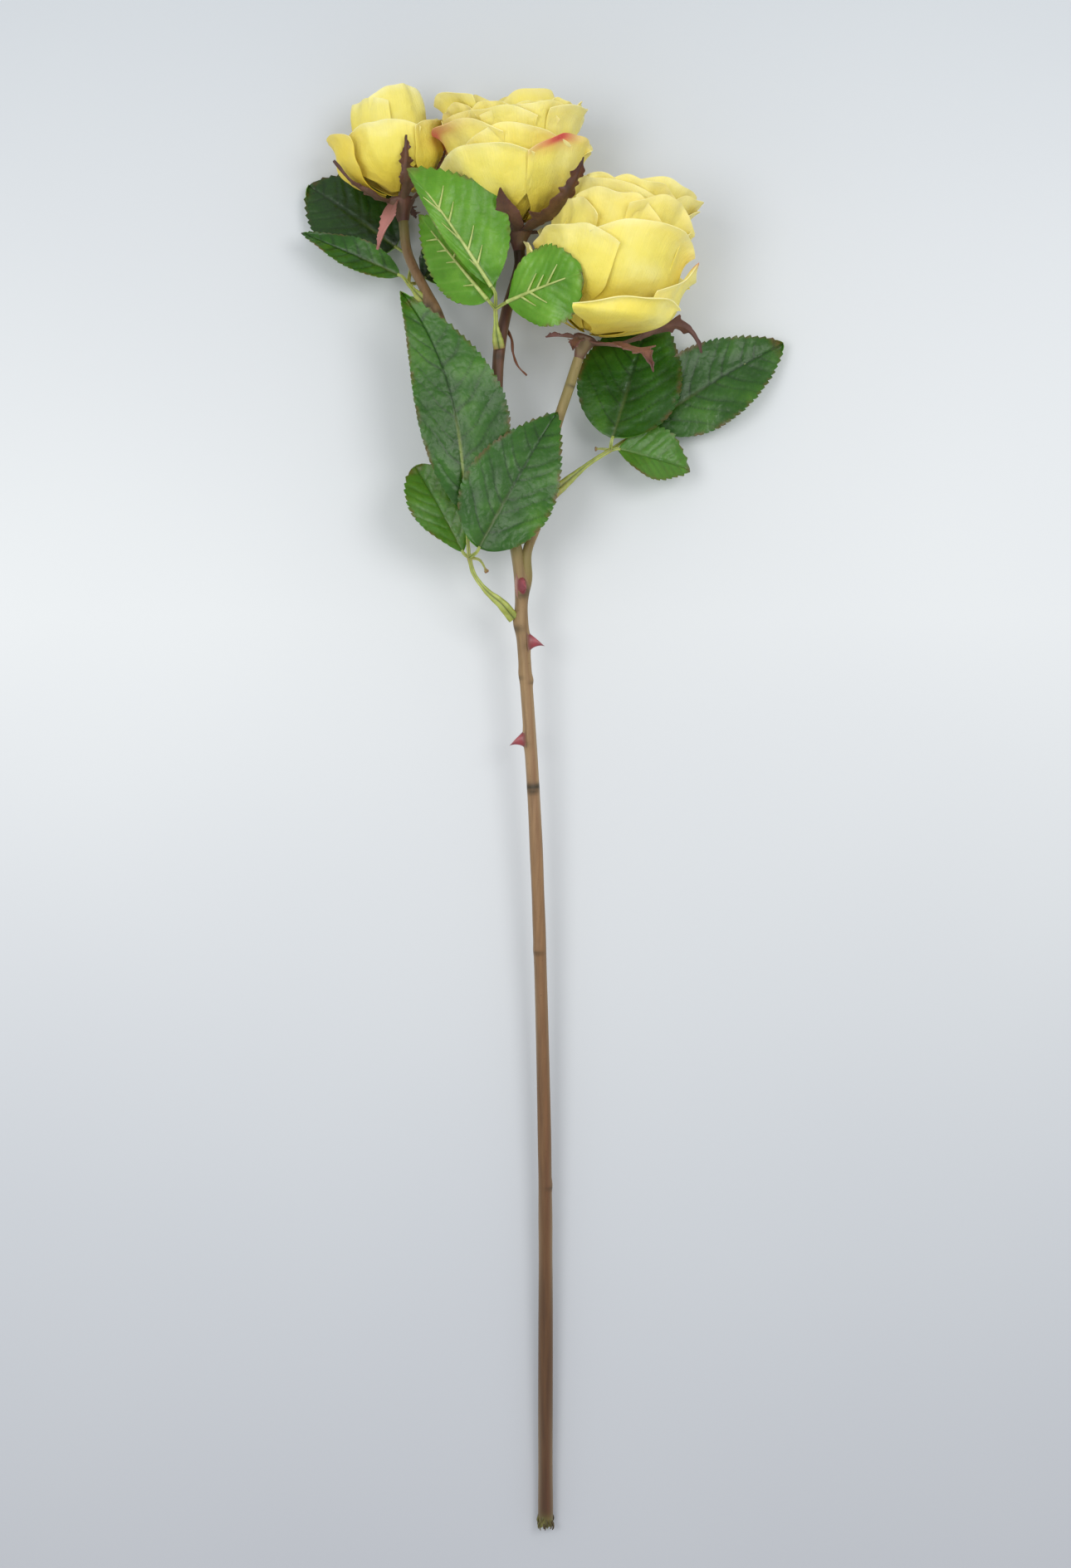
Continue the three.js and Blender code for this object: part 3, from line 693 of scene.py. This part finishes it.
leaf_rng = np.random.default_rng(21)
for name, leaflets in leaves.items():
    flipped = name in underside_up
    for part_name, leaflet in leaflets.items():
        length, width = leaflet["length"], leaflet["width"]
        teeth = max(8, round(length / tooth_pitch))
        rows, columns = 4 * teeth + 1, 45
        v = np.linspace(0, 1, rows)[:, None]
        u = np.linspace(-1, 1, columns)[None, :]
        u = np.sign(u) * np.abs(u) ** 0.92
        saw = np.tile((0.0, 0.45, 0.85, 1.0), teeth + 1)[:rows][:, None]
        uneven = np.repeat(leaf_rng.uniform(0.55, 1.15, teeth + 1), 4)[:rows][:, None]
        depth = tooth_depth * min(1, width / 26) * uneven * ease(v, 0.06, 0.16) * ease(1 - v, 0, 0.05)
        edge = ease(np.abs(u), 0.84, 1)
        local = blade_points(leaflet, u + 0 * v, v + 0 * u, depth * saw * edge - depth * 0.4 * edge)
        local[..., 0] += (depth * 0.9 * edge) * (saw > 0.9)
        pairs = 4 + round(length / 22)
        pitch = length / (pairs + 1.5)
        side_out = np.abs(u) * outline(leaflet, v)
        lag = leaf_rng.uniform(0, 6)
        phase = (v * length - 0.85 * side_out - 0.012 * side_out**2) / pitch + 0.25 * (u > 0)
        phase = phase + 0.12 * np.sin(3.1 * phase + lag) + 0.06 * np.sin(side_out / 2.1 + lag)
        from_vein = (phase - np.round(phase)) * pitch
        vein = bump(from_vein, 0, 0.65) * (1 - 0.55 * np.abs(u) ** 2) * (phase > 0.3)
        midrib = bump(side_out, 0, 0.9 - 0.5 * v)
        puff = np.cos(np.pi * from_vein / pitch) ** 2 * np.sin(np.pi * np.clip(np.abs(u), 0, 1)) ** 0.7
        wave = leaf_rng.uniform(0, 6, 3)
        wander = 1.1 * np.abs(u) ** 2 * np.sin(2 * np.pi * 1.8 * v + wave[0] + 1.7 * (u > 0))
        wander = wander * min(1, width / 30) + 0.6 * np.sin(5 * v + 2.4 * u + wave[1]) * v
        face = -1 if flipped else 1
        local[..., 2] += wander + face * (-0.14 * vein - 0.4 * midrib - 0.17 * puff + 0.1)
        rim = np.clip(ease(np.abs(u), 0.88, 1) * ease(v, 0.05, 0.2) + ease(v, 0.9, 1), 0, 1)
        marks = {
            "vein": np.clip(vein + midrib, 0, 1),
            "rim": rim,
            "rib": bump(side_out, 0, 0.55) * (1 - ease(v, 0.2, 0.5)) * leaflet.get("pale_rib", 0.2),
            # Painted shade: leaflets in a bloom's shadow are painted darker, and so is a band beside the
            # midrib near the base; bright makes a leaflet lighter green.
            "shade": np.clip(leaflet.get("tone_and_painted_shade", 0) + 0.3 * bump(side_out, 2.4, 2.2) * (1 - v), 0, 1),
            "bright": 2.0 * max(0, -leaflet.get("tone_and_painted_shade", 0)),
        }
        grid = moved(local, blade_matrix(leaflet))
        part = shell(grid, blade_thickness, marks)
        part[2]["pale_face"] = 1 - part[2]["under"] if flipped else part[2]["under"]
        blade = make_piece(f"{name}_leaf_{part_name}_blade", part, blade_finish)
        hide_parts(f"{name}_leaf_{part_name}_leaflet")

        # The ribs are moulded onto the underside: a midrib, and short side ribs along the veins.
        lift = -face * (blade_thickness / 2 + (0.35 if flipped else 0.62))
        rib_thick, side_thick = (0.95, 0.6) if flipped else (0.6, 0.4)
        rib_lines = [(np.zeros(40), np.linspace(0, 0.8, 40), rib_thick, 0.3)]
        for k in range(1, pairs):
            for hand in (-1, 1):
                if leaf_rng.uniform() < 0.45:
                    continue
                across = np.linspace(0, leaf_rng.uniform(0.25, 0.5) * width / 2, 16)
                start = (k + 0.5 - 0.25 * (hand > 0)) * pitch
                v_line = np.clip((start + 0.85 * across + 0.012 * across**2) / length, 0, 0.97)
                half_here = np.maximum(outline(leaflet, v_line), 0.5)
                if v_line[-1] < 0.78:
                    u_line = hand * np.minimum(across / half_here, 0.8)
                    rib_lines.append((u_line, v_line, side_thick, 0.2))
        ribs = []
        for u_line, v_line, thick, fine in rib_lines:
            line = blade_points(leaflet, u_line, v_line)
            line[:, 2] += lift - face * 0.35 * (thick - fine) * np.linspace(1, 0, len(line))
            line = moved(line, blade_matrix(leaflet))
            ribs.append(tube(line, np.linspace(thick, fine, len(line))[:, None], 8, marks={}))
        rib = make_piece(f"{name}_leaf_{part_name}_ribs", together(ribs), rib_finish)

# ---- Hips and sepals ----
# Under each bloom sits a ribbed hip of plastic with five sepals of stiff cloth round its top. They
# are maroon-brown, keeled along the middle, twisted and frayed into fine lobes at their edges.
hip_profile = [  # distance along the axis, radius
    (-11.8, 2.4), (-10.9, 2.7), (-9.6, 3.0), (-8, 3.5), (-6.2, 4.4), (-4.4, 5.5), (-2.9, 6.3),
    (-1.9, 6.2), (-1.3, 5.0),
]
sepals = {  # side in degrees, length, lift, bend, width, how frayed, twist in degrees, pink, droop
    "right": [
        (184, 13, -5, -20, 5.5, 0.6, 10, 0.3, 0), (32, 38, 4, 0, 7.5, 1.2, 62, 0.3, -60),
        (345, 58, 14, 62, 7.5, 1.2, -50, 0.15, -125), (262, 20, 10, -20, 5, 0.5, 10, 0.1, 0),
        (112, 9, -40, -20, 5, 0.4, 0, 0.2, 0),
    ],
    "middle": [
        (104, 27, 12, 40, 11, 0.15, 8, 0.08, 0), (52, 51, 2, 50, 9, 1.5, -20, 0.0, 0),
        (165, 26, 4, 10, 5, 0.6, 10, 0.1, 0), (236, 14, 24, 0, 5, 0.5, 10, 0.1, 0),
        (305, 18, 10, 0, 5, 0.5, 0, 0.1, 0),
    ],
    "bud": [
        (150, 33, 14, 40, 5, 0.7, -15, 0.05, 0), (73, 32, 20, 60, 5.5, 0.9, 15, 0.05, 0),
        (20, 28, 18, 50, 5, 0.7, 20, 0.05, 0), (128, 27, -50, -12, 8.5, 0.3, 12, 0.9, 0),
        (292, 10, -20, -20, 5, 0.5, 0, 0.1, 0),
    ],
}
sepal_root_radius, sepal_root_height, sepal_thickness = 4.5, -3.4, 0.5
hip_looks = {"right": (0.84, 1.5), "middle": (1, 0.75), "bud": (1, 0.75)}  # girth, how green
press_from, press_floor = 3.0, 0.1  # cloth nearer the table than the first is pressed


def pressed(points):
    """Soft cloth lying on the table: whatever would go below it is pushed up smoothly."""
    z = points[:, 2]
    room = press_from - press_floor
    soft = press_floor + room * np.exp((np.minimum(z, press_from) - press_from) / room)
    return np.column_stack([points[:, :2], np.where(z < press_from, soft, z)])


calyx_finish, tree, shader = new_finish(
    "calyx maroon", Roughness=0.55, Sheen_Weight=0.12, Sheen_Roughness=0.5,
    Sheen_Tint=paint(220, 180, 170), Subsurface_Weight=0.05,
)
calyx_colour = shades(
    tree, grain(tree, 220, 5, (1, 0.35, 1)), (0.32, 42, 21, 14), (0.52, 68, 38, 27),
    (0.74, 100, 64, 46),
)
calyx_colour = coats(
    tree, calyx_colour, ("green", 92, 88, 44), ("pink", 186, 122, 116), ("dark", 48, 20, 16)
)
calyx_bumps = [(grain(tree, 700, 4, (1, 0.2, 1)), 0.0004, 0.6), (grain(tree, 2200, 2), 0.0001, 0.5)]
wear(tree, shader, calyx_colour, calyx_bumps)

for bloom, blades in sepals.items():
    rng = np.random.default_rng(len(bloom) * 11)
    profile = np.array(hip_profile)
    axis = np.linspace(profile[0, 0], profile[-1, 0], 34)
    turn = ring(48)
    girth, greenness = hip_looks[bloom]
    body = np.interp(axis, profile[:, 0], profile[:, 1])[:, None] * girth
    body = body * (1 + 0.03 * np.cos(5 * turn + 1) + 0.015 * np.sin(9 * turn + axis[:, None]))
    hip_line = np.column_stack([axis * 0, axis, axis * 0])
    patch = 0.6 + 0.4 * np.sin(2 * turn + len(bloom))
    hip_green = greenness * bump(axis, -7, 3.8)[:, None] * patch
    hip_dark = 0.5 * bump(axis, -1.5, 1)[:, None]
    marks = {"green": np.clip(hip_green, 0, 1), "pink": 0.12, "dark": hip_dark, "under": 0.0}
    parts = [tube(hip_line, body, 48, marks=marks)]
    for side, length, lift, bend, width, frayed, twist, pink, droop in blades:
        rows, columns = 91, 15
        v = np.linspace(0, 1, rows)
        slope = np.radians(lift + bend * v + droop * ease(v, 0.5, 1))
        step = length / (rows - 1)
        out = sepal_root_radius + np.concatenate([[0], np.cumsum(np.cos(slope[1:]) * step)])
        up = sepal_root_height + np.concatenate([[0], np.cumsum(np.sin(slope[1:]) * step)])
        u = np.linspace(-1, 1, columns)[None, :]
        half = width / 2 * (0.4 + 0.6 * np.sin(np.pi * (0.12 + 0.8 * v)) ** 0.8) * (1 - v**2.4) ** 0.8
        jag = np.zeros((rows, 2))
        for edge in (0, 1):
            wave = rng.uniform(0, 6.28, 3)
            lobes = np.sin(17 * v + wave[0]) + 0.8 * np.sin(31 * v + wave[1])
            lobes = lobes + 0.5 * np.sin(53 * v + wave[2])
            jag[:, edge] = 0.55 * np.maximum(lobes, -0.6)
            for place in rng.uniform(0.15, 0.85, 5):
                jag[:, edge] += rng.uniform(0.6, 2.2) * bump(v, place, rng.uniform(0.012, 0.03))
        jag = np.where(u < 0, jag[:, :1], jag[:, 1:]) * ease(np.abs(u), 0.6, 1) * frayed
        jag = jag * (ease(v, 0.08, 0.25) * (1 - ease(v, 0.86, 1)))[:, None]
        across = u * half[:, None] + np.sign(u) * jag
        keel = 0.35 * width / 5 * (1 - np.abs(u)) - 0.5 * np.abs(u) ** 2
        keel = keel + 0.7 * np.abs(u) ** 2 * np.sin(13 * v + side)[:, None] * min(frayed, 1)
        swing = np.radians(twist * v + 6 * np.sin(7 * v + side))[:, None]
        lie = across * np.cos(swing) - keel * np.sin(swing)
        stand = across * np.sin(swing) + keel * np.cos(swing)
        radial = out[:, None] + np.sin(slope)[:, None] * stand + 0.9 * jag * 0.4
        axial = up[:, None] - np.cos(slope)[:, None] * stand
        cos, sin = math.cos(math.radians(side)), math.sin(math.radians(side))
        lie = lie + (0.9 * np.sin(5.5 * v + side) * v)[:, None]
        grid = np.stack([radial * cos - lie * sin, axial, radial * sin + lie * cos], -1)
        dark = 0.5 * ease(np.abs(u), 0.5, 1) + 0.5 * ease(v, 0.6, 1)[:, None]
        marks = {
            "green": 0.35 * (1 - v)[:, None],
            "pink": pink * (0.5 + 0.5 * ease(v, 0.05, 0.5))[:, None] + 0.15 * np.abs(u) ** 3,
            "dark": np.clip(dark, 0, 1) * (1 - 0.7 * pink),
        }
        parts.append(shell(grid, sepal_thickness, marks))
    verts, faces, marks = together(parts)
    part = pressed(moved(verts, bloom_matrix(bloom))), faces, marks
    calyx = make_piece(f"{bloom}_hip_and_sepals", part, calyx_finish)
    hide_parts(f"{bloom}_bloom_calyx")

# ---- Petals ----
# Each petal is one piece of thin yellow cloth, pressed to a cup and glued at its claw round the hip,
# with its edge curled back by heat and here and there touched with pink.
petal_thickness = 0.4
lip_from, claw_share = 0.68, 0.38
inner_claw, outer_claw, claw_rise = 2.6, 6.4, 2.2
petals = {  # side in degrees, belly radius, height, width, lip (+ rolls out, - closes in), outermost first
    "right": [
        (63, 36.5, 18, 50, 5), (8, 34.6, 35, 48, 3.5), (186, 35, 30, 46, 2), (300, 34, 43, 52, 3),
        (238, 32.2, 45, 52, 1), (126, 32, 38, 46, 1.5), (58, 30.6, 50, 54, 1.5), (340, 29.4, 56, 50, 1),
        (197, 27, 51, 50, -0.5), (268, 25.4, 60, 56, 0), (110, 25.4, 60.5, 56, 0.5),
        (24, 24.2, 69, 56, 1),
    ],
    "middle": [
        (44, 32, 33, 40, 2), (122, 31.3, 30, 52, 2), (335, 31, 36, 46, 2), (245, 30.5, 38, 54, 2),
        (152, 29.6, 42, 56, 4), (86, 29.5, 36, 46, 1.5), (206, 28, 48, 44, 2), (15, 29, 47, 46, 2.5),
        (290, 28, 50, 52, 2), (125, 28, 44, 54, 2), (60, 27.5, 45, 54, 1.5), (180, 27.5, 55, 56, 3),
    ],
    "bud": [
        (172, 26, 28, 38, 3), (14, 21.6, 29, 36, 1), (105, 20, 28.5, 36, 0.5), (240, 19.4, 32, 38, 1),
        (310, 18.2, 34, 38, 1), (150, 17.2, 40, 38, -1), (45, 15.6, 44, 40, -1), (270, 14.4, 43, 40, -1),
    ],
}
belly_at = {"right": 0.6, "middle": 0.95, "bud": 0.6}
# What sets single petals apart: roll (turn of the edge in radians), slant (one side higher), tip
# (place across, mm longer), blush (place across, half width, strength), folds (depth in mm).
petal_touches = {
    ("right", 1): dict(roll=1.1, slant=-0.62, ruffle=0.3, round_off=0.26),
    ("right", 2): dict(roll=0.35, slant=-0.22, tip=(0.05, 9), blush=(0.05, 0.1, 0.9)),
    ("right", 6): dict(roll=0.8, slant=-0.1),
    ("right", 7): dict(roll=0.8, slant=-0.1),
    ("right", 8): dict(roll=0.35),
    ("right", 12): dict(roll=0.2, slant=-0.03, folds=0.3, round_off=0.05),
    ("middle", 1): dict(roll=0.5, slant=-0.07, blush=(0.3, 0.55, 1.0)),
    ("middle", 2): dict(roll=0.7),
    ("middle", 5): dict(roll=0.75, tip=(0.75, 5), blush=(0.5, 0.6, 1.0)),
    ("middle", 6): dict(roll=0.7, slant=0.04),
    ("middle", 12): dict(roll=0.6, folds=0.5, round_off=0.1),
    # The bud's outermost petal gets extra painted shade.
    ("bud", 1): dict(roll=0.4, painted_tuck_shade=0.45),
    ("bud", 2): dict(roll=0.7, blush=(-0.35, 0.4, 0.85)),
}

petal_finish, tree, shader = new_finish(
    "petal cloth", Roughness=0.58, Sheen_Weight=0.18, Sheen_Roughness=0.4,
    Sheen_Tint=paint(255, 246, 200), Specular_IOR_Level=0.3, Subsurface_Weight=0.3,
    Subsurface_Scale=0.003, Subsurface_Radius=(1.0, 0.8, 0.3),
)
# Deeper yellow at the claw and cream at the edge: partly the cloth's own colour, partly painted shade low
# down where petals tuck behind others and a painted highlight along the curled rims.
petal_rise_tint_and_painted_light = shades(
    tree, mark(tree, "rise"), (0.0, 212, 188, 60), (0.4, 234, 213, 86), (0.75, 243, 226, 112),
    (0.92, 248, 234, 142), (1.0, 254, 247, 192),
)
petal_cloud = shades(
    tree, grain(tree, 45, 3), (0.32, 232, 210, 76), (0.52, 244, 227, 108), (0.74, 252, 242, 158)
)
petal_colour = mix(tree, 0.5, petal_rise_tint_and_painted_light, petal_cloud)
vein_place = {0: times(tree, mark(tree, "across"), 26.0), 1: mark(tree, "rise"), 2: 0.0}
vein_place = node(tree, "CombineXYZ", "Vector", vein_place)
petal_veins = node(tree, "TexNoise", "Fac", {"Vector": vein_place, "Scale": 3.0, "Detail": 4.0})
petal_vein_tone = node(tree, "MapRange", "Result", {"Value": petal_veins, 3: 0.9, 4: 1.06})
petal_colour = mix(tree, 1.0, petal_colour, petal_vein_tone, "MULTIPLY")
# Painted shade: the deep coat turns the petals darker gold low down, where they tuck behind others, and
# inside the hearts.
petal_colour = coats(tree, petal_colour, ("painted_tuck_shade", 228, 192, 46), ("blush", 206, 62, 74))
petal_bumps = [
    (grain(tree, 42, 2), 0.008, 0.35), (petal_veins, 0.0006, 0.4), (grain(tree, 120, 3), 0.003, 0.3),
    (grain(tree, 3200, 2), 0.0001, 0.5),
]
wear(tree, shader, petal_colour, petal_bumps)


def petal_grid(
    shape, inward, widest_at, rng, roll, slant=0.0, tip=None, ruffle=0.5, folds=0.0, round_off=0.16
):
    """A petal's middle sheet: u from -1 to 1 across, v from 0 at its claw to 1 at its edge."""
    azimuth, belly, height, width, lip = shape
    rows, columns = 41, 37
    v = np.linspace(0, 1, rows)[:, None] + np.zeros((1, columns))
    u = np.linspace(-1, 1, columns)[None, :] + np.zeros((rows, 1))
    wave = rng.uniform(0, 6.28, 8)
    claw = outer_claw + (inner_claw - outer_claw) * inward
    t = v * (1 - round_off * np.abs(u) ** 2.6)
    tall = height * (1 + slant * u + 0.012 * np.sin(4.2 * u + wave[0]) + 0.008 * np.sin(9 * u + wave[1]))
    if tip:
        tall = tall + tip[1] * bump(u, tip[0], 0.24)
    over = np.maximum(0, (t - lip_from) / (1 - lip_from))
    r = claw + (belly - claw) * np.sin(np.pi / 2 * np.minimum(t / widest_at, 1)) ** 0.9
    r = r + 0.7 * lip * over**2
    y = claw_rise * inward + tall * t**1.1
    curl = roll * (1 + 0.35 * np.sin(3.1 * u + wave[2]) + 0.2 * np.sin(6.3 * u + wave[3]))
    angle = curl * ease(v, 0.78, 1.02)
    dr, dy = np.diff(r, axis=0), np.diff(y, axis=0)
    turn = (angle[1:] + angle[:-1]) / 2
    r = r[:1] + np.vstack([np.zeros((1, columns)), np.cumsum(dr * np.cos(turn) + dy * np.sin(turn), axis=0)])
    y = y[:1] + np.vstack([np.zeros((1, columns)), np.cumsum(dy * np.cos(turn) - dr * np.sin(turn), axis=0)])
    r = r + 0.7 * ease(np.abs(u), 0.78, 1) * ease(v, 0.2, 0.7)
    r = r + folds * (np.abs(np.sin(3.6 * u + wave[7])) ** 0.6 - 0.7) * ease(v, 0.5, 0.95)
    r = r + ruffle * (np.sin(7.4 * u + wave[4]) + 0.4 * np.sin(15 * u + wave[6])) * ease(v, 0.5, 1)
    r = r + 0.4 * np.sin(4.6 * u + 5 * v + wave[5]) * ease(v, 0.1, 0.5)
    r = r + 0.2 * np.sin(11 * u - 7 * v + wave[6]) * ease(v, 0.05, 0.3)
    half_angle = width / 2 / belly
    spread = half_angle * (claw_share + (1 - claw_share) * ease(v, 0, 0.5))
    face = math.radians(azimuth) + u * spread
    return np.stack([r * np.cos(face), y, r * np.sin(face)], -1), u, v


def petal_part(bloom, shape, inward, rng, touch, painted_tuck_shade=0.0):
    blush = touch.get("blush")
    painted_tuck_shade = touch.get("painted_tuck_shade", painted_tuck_shade)
    options = {key: touch[key] for key in touch if key not in ("blush", "painted_tuck_shade")}
    grid, u, v = petal_grid(shape, inward, belly_at[bloom], rng, **options)
    pink = np.zeros_like(u)
    if blush:
        place, half, strength = blush
        pink = strength * bump(u, place, half) * (0.35 * ease(v, 0.74, 0.92) + 0.65 * ease(v, 0.87, 0.95))
    marks = {
        "rise": v,
        "across": u,
        "blush": pink,
        # Painted shade: darker gold towards the claw, where the petal tucks behind others; deep adds more
        # for shaded petals and for the hearts' inner petals.
        "painted_tuck_shade": np.clip(painted_tuck_shade + 0.7 * (1 - ease(v, 0, 0.55)), 0, 1),
    }
    verts, faces, marks = shell(grid, petal_thickness, marks)
    return pressed(moved(verts, bloom_matrix(bloom))), faces, marks


for bloom, shapes in petals.items():
    count = len(shapes)
    for i, shape in enumerate(shapes):
        rng = np.random.default_rng(100 * len(bloom) + i)
        inward = i / (count - 1)
        closing = shape[4] < 0
        touch = {"roll": -0.3 if closing else 0.95 - 0.45 * inward, "ruffle": 0.35 + 0.3 * inward}
        if inward > 0.6:
            touch.update(folds=0.6, round_off=0.09)
        touch.update(petal_touches.get((bloom, i + 1), {}))
        part = petal_part(bloom, shape, inward, rng, touch)
        petal = make_piece(f"{bloom}_petal_{i + 1:02d}", part, petal_finish)
        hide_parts(f"{bloom}_bloom_petal_{i + 1:02d}")

# ---- Inner ruffles ----
# Narrow gathered petals of the same cloth, glued between the cups of the two open blooms and their
# hearts. Their crimped top edges fill the mouth of each bloom.
ruffles = {
    "right": [
        (138, 28.4, 50, 30, 0.5), (96, 27.8, 57, 38, 0.3), (50, 28, 61, 36, 0.3), (14, 25.8, 68, 34, 0.3),
        (118, 25.0, 62, 36, 0.2), (74, 24.6, 66, 36, 0.2), (345, 25.6, 67, 34, 0.3), (230, 23.4, 62, 30, 0),
        (300, 23.2, 64, 30, 0),
    ],
    "middle": [
        (150, 26.4, 49, 26, 3), (108, 26.0, 47, 24, 2), (74, 26.4, 46, 24, 1.5), (38, 26.0, 48.5, 26, 2),
        (5, 26.4, 50, 26, 2), (212, 26.2, 52, 28, 1), (258, 26, 52, 28, 1), (318, 26.2, 52, 28, 1),
    ],
}
for bloom, shapes in ruffles.items():
    rng = np.random.default_rng(31 + len(shapes))
    parts = []
    for shape in shapes:
        touch = {"roll": 0.55, "ruffle": 0.45, "folds": 0.4, "round_off": 0.12}
        parts.append(petal_part(bloom, shape, 0.6, rng, touch, painted_tuck_shade=0.1))
    ruffle = make_piece(f"{bloom}_ruffle_petals", together(parts), petal_finish)

# ---- Hearts ----
# The middle of each bloom is a cone of small petals of the same cloth, wound round each other and
# glued, their edges turned in.
hearts = {"right": (21, 65, 9), "middle": (22, 54, 9), "bud": (11.5, 45, 6)}  # radius, height, petals
golden_turn = 137.5  # degrees from one petal to the next
for bloom, (radius, height, count) in hearts.items():
    rng = np.random.default_rng(5 + count)
    parts = []
    for i in range(count):
        share = i / (count - 1)
        belly = (radius - 1.0) * (1 - 0.8 * share)
        wrap = belly * (2.5 + 0.8 * share)
        shape = (golden_turn * i + 40, belly, height * (1 - 0.08 * share), wrap, -0.5)
        touch = {"roll": -0.5, "ruffle": 0.4 * (1 - share)}
        parts.append(petal_part(bloom, shape, 0.9, rng, touch, painted_tuck_shade=0.2 + 0.3 * share))
    heart = make_piece(f"{bloom}_heart_petals", together(parts), petal_finish)
    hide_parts(f"{bloom}_bloom_heart")

# ---- Table, light and camera ----
# The spray lies on a pale, faintly glossy table in a white room, under two soft round lamps, one up
# to the left and one up to the right. The camera looks straight down from one metre.
table_mesh = bpy.data.meshes.new("table_top")
table_half = 3.0
corners = [(-table_half, -table_half, 0), (table_half, -table_half, 0)]
corners += [(table_half, table_half, 0), (-table_half, table_half, 0)]
table_mesh.from_pydata(corners, [], [(0, 1, 2, 3)])
table_finish, tree, shader = new_finish("pale table", Roughness=0.42, Specular_IOR_Level=0.35)
table_tone = shades(tree, grain(tree, 3, 2), (0.3, 210, 213, 216), (0.7, 214, 217, 219))
# Painted light: the table is painted darker towards the bottom and the top of the view and brightest a
# little above the middle, standing in for the fall-off of the lamps' light.
table_place = node(tree, "SeparateXYZ", "Y", {0: node(tree, "TexCoord", "Object")})
table_along = node(tree, "MapRange", "Result", {"Value": table_place, 1: -0.45, 2: 0.45})
table_painted_light_falloff = shades(
    tree, table_along, (0.0, 212, 213, 219), (0.3, 230, 232, 236), (0.6, 253, 254, 254),
    (0.8, 243, 245, 247), (1.0, 230, 234, 238),
)
table_tone = mix(tree, 1.0, table_tone, table_painted_light_falloff, "MULTIPLY")
tree.links.new(table_tone, shader.inputs["Base Color"])
table_mesh.materials.append(table_finish)
table_top = bpy.data.objects.new("table_top", table_mesh)
bpy.context.scene.collection.objects.link(table_top)

world = bpy.data.worlds.new("white room")
world.use_nodes = True
world.node_tree.nodes["Background"].inputs["Color"].default_value = (0.975, 0.985, 1.0, 1)
world.node_tree.nodes["Background"].inputs["Strength"].default_value = 0.71
bpy.context.scene.world = world

lamps = {  # place in metres, size, watts
    "left lamp": ((-0.5, 0.12, 1.0), 0.55, 4.1),
    "right lamp": ((0.5, 0.3, 1.0), 0.55, 4.0),
}
for name, (place, size, watts) in lamps.items():
    lamp_data = bpy.data.lights.new(name, "AREA")
    lamp_data.shape, lamp_data.size, lamp_data.energy = "DISK", size, watts
    lamp_data.color = (1.0, 0.985, 0.965)
    lamp = bpy.data.objects.new(name, lamp_data)
    lamp.location = place
    lamp.rotation_euler = (Vector((0, 0.05, 0)) - Vector(place)).to_track_quat("-Z", "Y").to_euler()
    bpy.context.scene.collection.objects.link(lamp)

camera_data = bpy.data.cameras.new("camera")
camera_data.lens, camera_data.sensor_width = 50.15, 36
camera = bpy.data.objects.new("camera", camera_data)
camera.location = (-0.003764, 0.013465, 1.0)
bpy.context.scene.collection.objects.link(camera)
bpy.context.scene.camera = camera
bpy.context.scene.view_settings.view_transform = "Standard"
